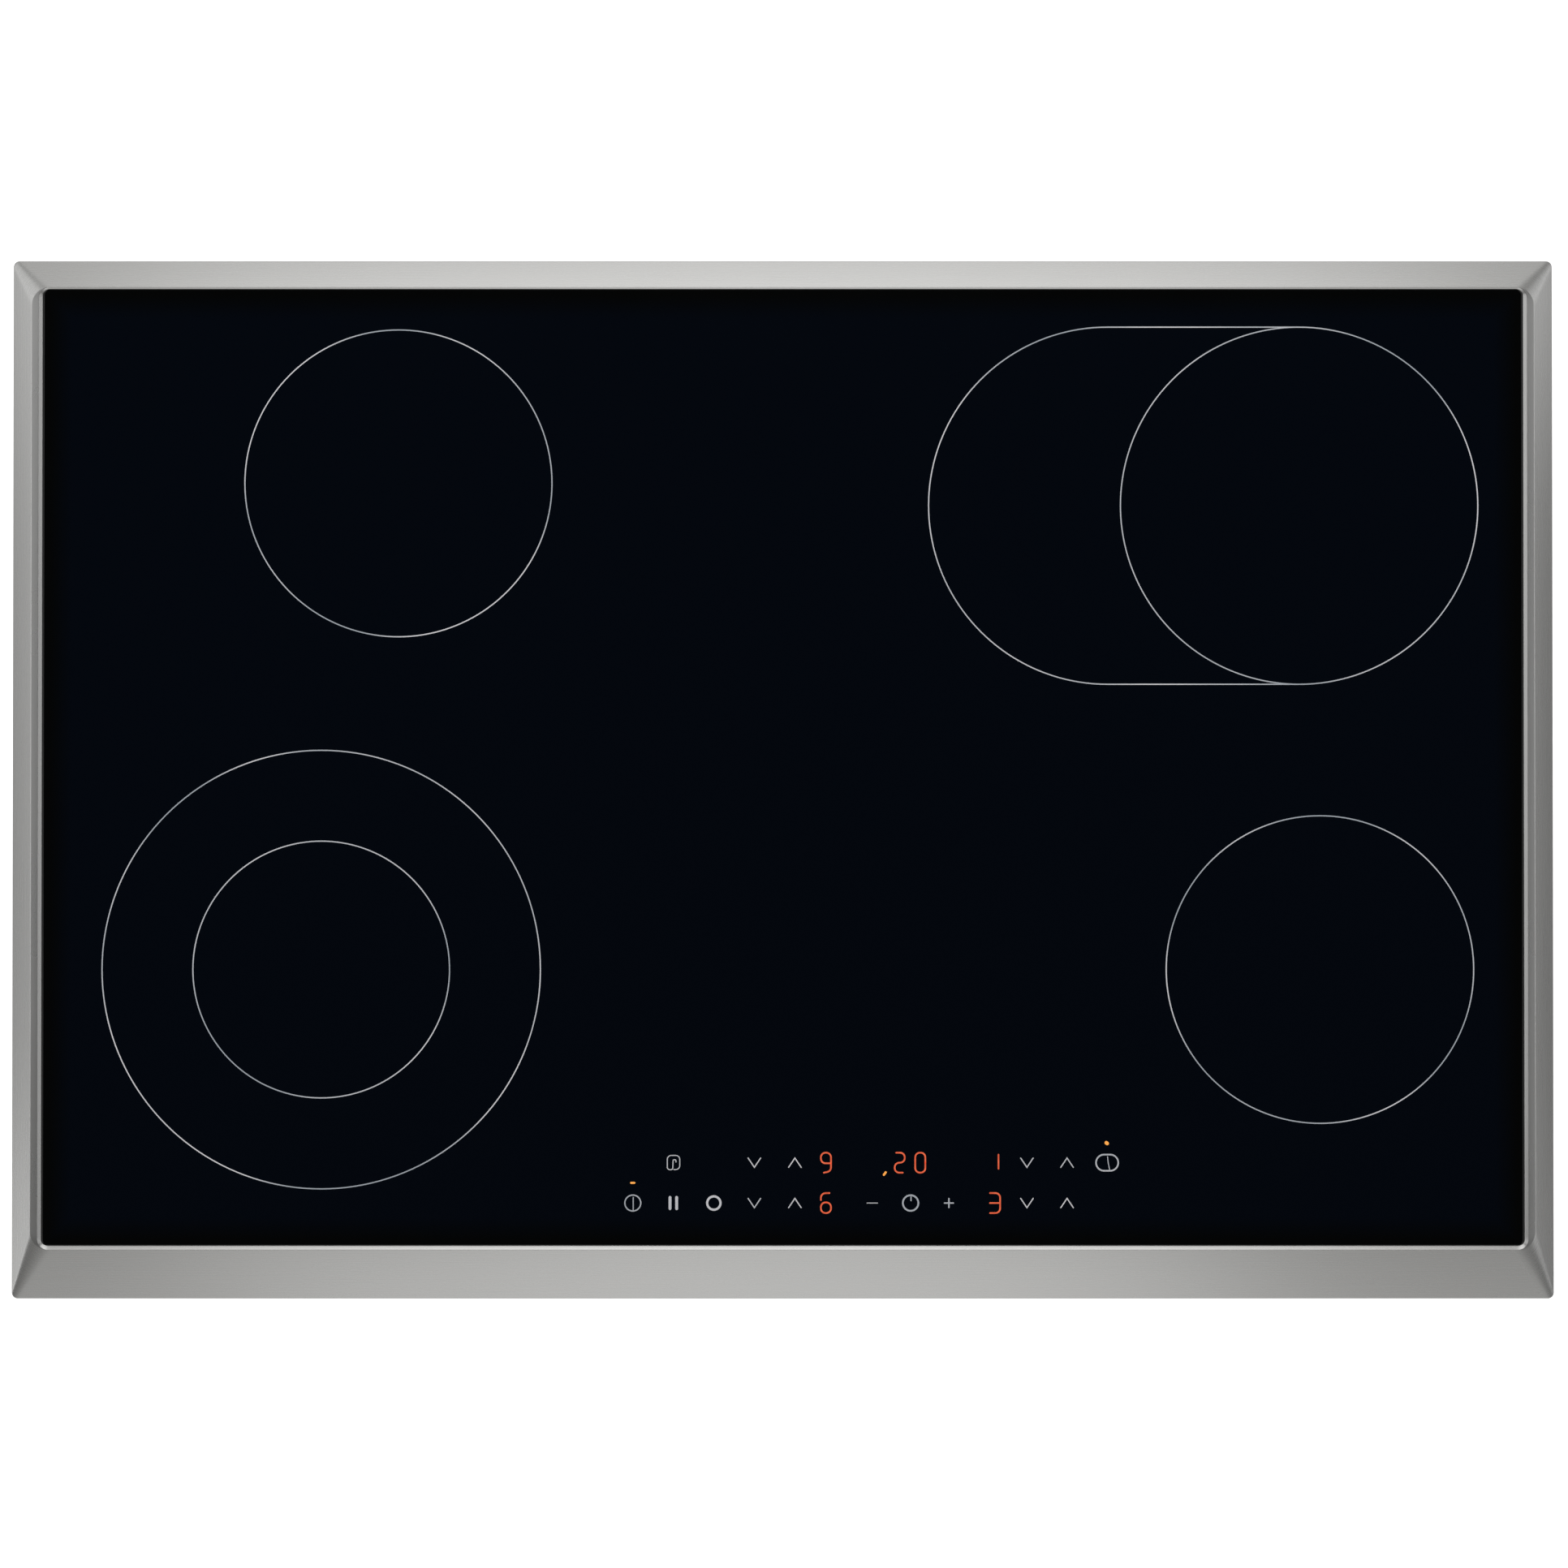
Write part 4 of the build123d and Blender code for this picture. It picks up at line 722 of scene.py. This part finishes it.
# A head's dome as shares of its height and radius, and its cross recess as shares too
DOME = [(0.0, 0.6), (0.1, 0.78), (0.3, 0.92), (0.6, 1.0), (1.0, 1.0)]
CROSS_DEPTH = 0.6
CROSS_FLOOR, CROSS_MOUTH = (0.26, 0.1), (0.48, 0.15)  # half length and half width of each arm
LEAST_SINE = 0.01  # keeps the sides of an arm finite along its middle
SCREW_TIP = 0.6  # length of a tapered tip, as a share of the shank's radius
CLAMP_HEAD = 3.0
CLAMP_SHANK = 2.0
CLAMP_COLLAR = (5.2, 6.0, 3.2)  # from the foot of the head, and its radius
THREAD_PITCH = 0.7
THREAD_DEPTH = 0.35
THREAD_END = 1.0  # least length of the tip, which has no thread
LID_THICKNESS = 2.0
LID_CORNER = 2.0
LID_EDGE, EDGE_MIDDLE = 0.5, 0.15  # reach of the rounded edge, and its inset half-way round
LID_BORDER = 4.0
LID_SINK = 0.8
RIB_COUNT, RIB_HALF, RIB_CORNER = 6, 0.7, 0.6
RIB_FROM_HINGE, RIB_FROM_EDGE = 6, 14
RIB_TOP, RIB_BEVEL, RIB_ROOT = 0.1, 0.3, 0.1  # inside the border's height, along its top, in the panel
GRIP_COUNT, GRIP_HALF, GRIP_CORNER = 4, 0.6, 0.5
GRIP_PITCH, GRIP_HALF_LENGTH, GRIP_FROM_EDGE = 2, 13, 11
BARREL_RADIUS = 2.2
PIN_RADIUS = 1.5
PIN_REACH = 2.1
PIN_BEVEL = 0.3
KNUCKLES = 7
KNUCKLE_GROOVE, KNUCKLE_BEVEL = 1.8, 0.4  # radius between two knuckles, and length of their bevels


def loose_boxes(node):
    """Lowest and highest corners, in mm, of each separate solid in a node."""
    solid = bmesh.new()
    solid.from_mesh(frame["nodes"][node].data)
    bmesh.ops.remove_doubles(solid, verts=solid.verts[:], dist=WELD * MM)
    seen = set()
    boxes = []
    for first in solid.verts:
        if first in seen:
            continue
        seen.add(first)
        group = [first]
        for vert in group:
            near = [edge.other_vert(vert) for edge in vert.link_edges]
            near = [other for other in near if other not in seen]
            seen.update(near)
            group += near
        spans = list(zip(*(vert.co / MM for vert in group)))
        boxes.append([Vector([pick(span) for span in spans]) for pick in (min, max)])
    solid.free()
    return boxes


def join_loops(shell, loops):
    """Adds points in mm as loops, joins each to the next and closes the first and the last."""
    rows = [[shell.verts.new(point * MM) for point in loop] for loop in loops]
    for lower, upper in zip(rows, rows[1:]):
        add_strip(shell, lower, upper)
    shell.faces.new(rows[0][::-1])
    shell.faces.new(rows[-1])


def turned_loops(start_point, axis, rings):
    """Loops about an axis, from rings of (distance along it, one radius or a radius for each step)."""
    side = UP.cross(axis) if axis != UP else RIGHT
    other = axis.cross(side)
    turns = [2 * pi * i / TURN_STEPS for i in range(TURN_STEPS)]
    loops = []
    for along, radius in rings:
        radii = radius if isinstance(radius, list) else [radius] * TURN_STEPS
        middle = start_point + axis * along
        loops.append([middle + (side * cos(a) + other * sin(a)) * r for a, r in zip(turns, radii)])
    return loops


def pad_loops(x0, x1, y0, y1, corner, levels):
    """Loops round a rounded rectangle, from levels of (inset, height)."""
    loops = []
    for inset, z in levels:
        radius = max(corner - inset, LEAST_RADIUS)
        left, right = x0 + inset + radius, x1 - inset - radius
        front, rear = y0 + inset + radius, y1 - inset - radius
        spots = ((right, front, -90), (right, rear, 0), (left, rear, 90), (left, front, 180))
        turns = [arc(x, y, radius, begin, begin + 90, PAD_CORNER_STEPS) for x, y, begin in spots]
        loops.append([point.to_3d() + UP * z for turn in turns for point in turn])
    return loops


def finish_shell(shell, name, slot, body, node):
    """Turns a built shell into the piece that stands for a node."""
    bmesh.ops.triangulate(shell, faces=[f for f in shell.faces if len(f.verts) > 4])
    bmesh.ops.recalc_face_normals(shell, faces=shell.faces[:])
    for face in shell.faces:
        face.smooth = True
    mesh = bpy.data.meshes.new(name)
    shell.to_mesh(mesh)
    shell.free()
    mesh.set_sharp_from_angle(angle=radians(SHARP_ANGLE))
    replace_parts(place_piece(name, mesh, slot, body), node)


def cross_radii(length, width):
    """Distances from the middle of a plus sign to its outline, one for each step of a turn."""
    radii = []
    for i in range(TURN_STEPS):
        off = radians(abs((360 / TURN_STEPS * i + 45) % 90 - 45))
        radii.append(min(length / cos(off), width / max(sin(off), LEAST_SINE)))
    return radii


def pan_head(radius, height):
    """Rings of a domed screw head with a cross recess, from below upwards."""
    floor, mouth = (cross_radii(long * radius, wide * radius) for long, wide in (CROSS_FLOOR, CROSS_MOUTH))
    dome = [(rise * height, share * radius) for rise, share in DOME]
    return [(CROSS_DEPTH * height, floor), (0.0, mouth)] + dome


def make_screws():
    """Screws whose pan heads point down."""
    for node, (head, shank) in PAN_HEADS.items():
        shell = bmesh.new()
        for low, high in loose_boxes(node):
            radius = (high.x - low.x) / 2
            rings = pan_head(radius, head)
            length = high.z - low.z
            if shank:
                rings += [(head, shank), (length - SCREW_TIP * shank, shank), (length, shank / 2)]
            foot = Vector(((low.x + high.x) / 2, (low.y + high.y) / 2, low.z))
            join_loops(shell, turned_loops(foot, UP, rings))
        slot = next(p["material_slot"] for p in frame["record"]["subparts"] if p["node"] == node)
        finish_shell(shell, f"{node}_pan_head", slot, "root", node)


def make_clamp_screws():
    """The clamps' long screws, with their collar and their thread."""
    for corner in ("front_left", "front_right", "rear_left", "rear_right"):
        node = f"clamp_screw_{corner}"
        low, high = (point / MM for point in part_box(node))
        length = high.z - low.z
        base, top, collar = CLAMP_COLLAR
        rings = pan_head((high.x - low.x) / 2, CLAMP_HEAD)
        rings += [(CLAMP_HEAD, CLAMP_SHANK), (base, CLAMP_SHANK)]
        rings += [(base, collar), (top, collar), (top, CLAMP_SHANK)]
        # the thread is drawn as rings, because its lead is too small to show
        for i in range(int((length - top - THREAD_END) / THREAD_PITCH)):
            along = top + (i + 0.5) * THREAD_PITCH
            rings += [(along, CLAMP_SHANK - THREAD_DEPTH), (along + THREAD_PITCH / 2, CLAMP_SHANK)]
        rings += [(length, CLAMP_SHANK - 2 * THREAD_DEPTH)]
        shell = bmesh.new()
        foot = Vector(((low.x + high.x) / 2, (low.y + high.y) / 2, low.z))
        join_loops(shell, turned_loops(foot, UP, rings))
        finish_shell(shell, f"{node}_threaded", "zinc_plated_steel", node, node)


def make_terminal_cover():
    """The moulded lid: a border round a sunk panel with ribs and a finger grip, and a knuckled hinge."""
    low, high = (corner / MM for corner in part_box("terminal_cover"))
    x0, x1 = low.x + PIN_REACH, high.x - PIN_REACH
    y0, y1 = low.y + BARREL_RADIUS, high.y
    z = low.z
    shell = bmesh.new()
    edge = [(LID_EDGE, z), (EDGE_MIDDLE, z + EDGE_MIDDLE), (0, z + LID_EDGE), (0, z + LID_THICKNESS)]
    panel = [(LID_BORDER + LID_EDGE, z + LID_SINK), (LID_BORDER, z)]
    join_loops(shell, pad_loops(x0, x1, y0, y1, LID_CORNER, panel + edge))
    # ribs stand on the sunk panel and stay just inside the border's height
    rib = [(RIB_BEVEL, z + RIB_TOP), (0, z + RIB_TOP + RIB_BEVEL), (0, z + LID_SINK + RIB_ROOT)]
    front, rear = y0 + RIB_FROM_HINGE, y1 - RIB_FROM_EDGE
    for i in range(RIB_COUNT):
        x = x0 + (x1 - x0) * (i + 0.5) / RIB_COUNT
        join_loops(shell, pad_loops(x - RIB_HALF, x + RIB_HALF, front, rear, RIB_CORNER, rib))
    left, right = (x0 + x1) / 2 - GRIP_HALF_LENGTH, (x0 + x1) / 2 + GRIP_HALF_LENGTH
    for i in range(GRIP_COUNT):
        y = y1 - GRIP_FROM_EDGE + GRIP_PITCH * i
        join_loops(shell, pad_loops(left, right, y - GRIP_HALF, y + GRIP_HALF, GRIP_CORNER, rib))
    rings = [(0, PIN_RADIUS - PIN_BEVEL), (PIN_BEVEL, PIN_RADIUS), (PIN_REACH, PIN_RADIUS)]
    rings.append((PIN_REACH, KNUCKLE_GROOVE))
    pitch = (x1 - x0) / KNUCKLES
    for i in range(KNUCKLES):
        begin, end = PIN_REACH + pitch * i, PIN_REACH + pitch * (i + 1)
        rings += [(begin + KNUCKLE_BEVEL, BARREL_RADIUS), (end - KNUCKLE_BEVEL, BARREL_RADIUS)]
        rings.append((end, KNUCKLE_GROOVE))
    length = high.x - low.x
    rings += [(length - PIN_REACH, PIN_RADIUS), (length - PIN_BEVEL, PIN_RADIUS)]
    rings.append((length, PIN_RADIUS - PIN_BEVEL))
    hinge = Vector((low.x, y0, z + BARREL_RADIUS))
    join_loops(shell, turned_loops(hinge, RIGHT, rings))
    finish_shell(shell, "terminal_cover_lid", "black_plastic", "terminal_cover", "terminal_cover")


# Studio

# Soft panels over the object, out of the glass's own reflection: middle, width and depth in metres, and
# brightness. Panels that overlap hang at different heights, because light is lost where they coincide.
PANELS = {
    "rear_panel": ((0.0, 1.15, 1.3), (1.20, 1.40), 0.43),
    "near_rear_panel": ((0.0, 0.74, 1.27), (1.30, 0.44), 0.85),
    "right_panel": ((1.15, 0.10, 1.3), (0.86, 1.60), 0.85),
    "front_panel": ((0.0, -0.92, 1.3), (0.80, 0.80), 0.40),
    "front_end_panel": ((-0.42, -0.82, 1.27), (0.15, 0.60), 0.28),
    "near_left_panel": ((-1.15, 0.32, 1.3), (0.86, 1.50), 0.92),
    "left_panel": ((-2.00, 0.0, 1.3), (0.90, 2.40), 0.26),
    "rear_left_panel": ((-2.00, 0.78, 1.27), (0.90, 0.90), 0.55),
    "front_left_panel": ((-2.00, -0.54, 1.27), (0.90, 0.48), 1.05),
    "rear_right_panel": ((2.00, 0.80, 1.3), (0.90, 0.90), 0.90),
    "front_right_panel": ((2.00, -0.55, 1.3), (0.90, 0.44), 0.25),
}
# The ceiling: dark where the glass mirrors it, paler in front and behind than at the sides
GLOOM = 0.03
CEILING_LEFT = 0.16
CEILING_RIGHT = 0.07
CEILING_ENDS = 0.62
GLOOM_HALF = (0.185, 0.135)  # half size of the dark part, on a ceiling one unit up
GLOOM_FADE = 1.4  # how many times as large the dark part is where it has faded
ENDS_POWER = 4.0  # how closely the paler ceiling keeps to the front and the back
# The room: brightness level with the object and straight below, and the heights where the ceiling begins
ROOM = 0.75
ROOM_BELOW = 0.30
CEILING_FROM, CEILING_FULL = 0.1, 0.5
FLOOR_FROM = -0.1
LEAST_HEIGHT = 0.05  # keeps the ceiling's flat picture finite near the horizon

FLOOR_HALF = 6.0  # metres
FLOOR_GAP = 0.3  # below the tray, so that the two faces don't coincide


def make_studio():
    """Soft panels round a dim ceiling, in a pale room."""
    for name, (place, (width, depth), brightness) in PANELS.items():
        light = bpy.data.lights.new(name, "AREA")
        light.shape = "ELLIPSE"
        light.size, light.size_y = width, depth
        light.energy = brightness * pi * pi * width * depth / 4
        panel = bpy.data.objects.new(name, light)
        panel.location = place
        panel.visible_camera = False
        scene.collection.objects.link(panel)
    world = bpy.data.worlds.new("studio")
    scene.world = world
    world.use_nodes = True
    tree = world.node_tree
    way = add(tree, "TexCoord", {}).outputs["Generated"]
    height = add(tree, "SeparateXYZ", {"Vector": way}).outputs["Z"]
    safe = add(tree, "Math", {0: height, 1: LEAST_HEIGHT}, operation="MAXIMUM").outputs[0]
    ceiling = add(tree, "VectorMath", {0: way, 1: safe}, operation="DIVIDE").outputs[0]
    flat = add(tree, "VectorMath", {0: ceiling, 1: (1, 1, 0)}, operation="MULTIPLY").outputs[0]
    bearing = add(tree, "VectorMath", {0: flat}, operation="NORMALIZE").outputs[0]
    point = add(tree, "SeparateXYZ", {"Vector": bearing})
    side = add(tree, "MapRange", {"Value": point.outputs["X"], "From Min": -1.0, "To Min": CEILING_LEFT,
                                  "To Max": CEILING_RIGHT}).outputs["Result"]
    end = add(tree, "Math", {0: point.outputs["Y"], 1: ENDS_POWER}, operation="POWER").outputs[0]
    pale = add(tree, "MapRange", {"Value": end, "To Min": side, "To Max": CEILING_ENDS}).outputs["Result"]
    share = add(tree, "VectorMath", {0: flat, 1: (*GLOOM_HALF, 1)}, operation="DIVIDE").outputs[0]
    sides = add(tree, "VectorMath", {0: share}, operation="ABSOLUTE").outputs[0]
    edges = add(tree, "SeparateXYZ", {"Vector": sides})
    far = add(tree, "Math", {0: edges.outputs["X"], 1: edges.outputs["Y"]}, operation="MAXIMUM").outputs[0]
    lit = add(tree, "MapRange", {"Value": far, "From Min": 1.0, "From Max": GLOOM_FADE},
              interpolation_type="SMOOTHSTEP").outputs["Result"]
    dim = add(tree, "MapRange", {"Value": lit, "To Min": GLOOM, "To Max": pale}).outputs["Result"]
    low = add(tree, "MapRange", {"Value": height, "From Min": CEILING_FULL, "From Max": CEILING_FROM},
              interpolation_type="SMOOTHSTEP").outputs["Result"]
    room = add(tree, "MapRange", {"Value": height, "From Min": -1.0, "From Max": FLOOR_FROM,
                                  "To Min": ROOM_BELOW, "To Max": ROOM}).outputs["Result"]
    total = add(tree, "MapRange", {"Value": low, "To Min": dim, "To Max": room}).outputs["Result"]
    background = tree.nodes["Background"]
    tree.links.new(total, background.inputs["Strength"])
    background.inputs["Color"].default_value = linear("#FFFEFC")


def make_floor():
    """A white light table under the cooktop; it is clear from below, so that the tray can be seen."""
    height = cad_box[0].z - FLOOR_GAP * MM
    mesh = bpy.data.meshes.new("floor")
    corners = [(-1, -1), (1, -1), (1, 1), (-1, 1)]
    mesh.from_pydata([(x * FLOOR_HALF, y * FLOOR_HALF, height) for x, y in corners], [], [(0, 1, 2, 3)])
    floor = bpy.data.objects.new("floor", mesh)
    scene.collection.objects.link(floor)
    made, tree, shader, _ = start("white_light_table", Roughness=0.9, Emission_Strength=0.9)
    shader.inputs["Base Color"].default_value = linear("#F4F4F4")
    shader.inputs["Emission Color"].default_value = linear("#FFFFFF")
    below = add(tree, "NewGeometry", {}).outputs["Backfacing"]
    clear = add(tree, "BsdfTransparent", {})
    mix = add(tree, "MixShader", {0: below, 1: shader.outputs[0], 2: clear.outputs[0]})
    tree.links.new(mix.outputs[0], tree.nodes["Material Output"].inputs["Surface"])
    mesh.materials.append(made)
    # the sheet metal mirrors the room instead of the table's glow
    floor.visible_glossy = False
    floor.visible_diffuse = False


# Camera: almost straight down, from a little in front of the middle
CAMERA_DISTANCE = 2166.0
CAMERA_LENS = 100.0
CAMERA_SENSOR = 36.0
CAMERA_LEAN = 0.64  # degrees
LOOK_AT = (0.6, -2.4, 3.0)


def make_camera():
    """The camera of the photo's view, with plain colours."""
    data = bpy.data.cameras.new("camera")
    data.lens = CAMERA_LENS
    data.sensor_width = CAMERA_SENSOR
    camera = bpy.data.objects.new("camera", data)
    scene.collection.objects.link(camera)
    lean = radians(CAMERA_LEAN)
    away = Vector((0, -sin(lean), cos(lean))) * CAMERA_DISTANCE
    camera.location = (Vector(LOOK_AT) + away) * MM
    camera.rotation_euler = (lean, 0, 0)
    scene.camera = camera
    scene.view_settings.view_transform = "Standard"


dress_nodes()
make_trim_frame()
make_zone_print()
make_key_print()
make_digits()
make_lamps()
make_screws()
make_clamp_screws()
make_terminal_cover()
make_studio()
make_floor()
make_camera()
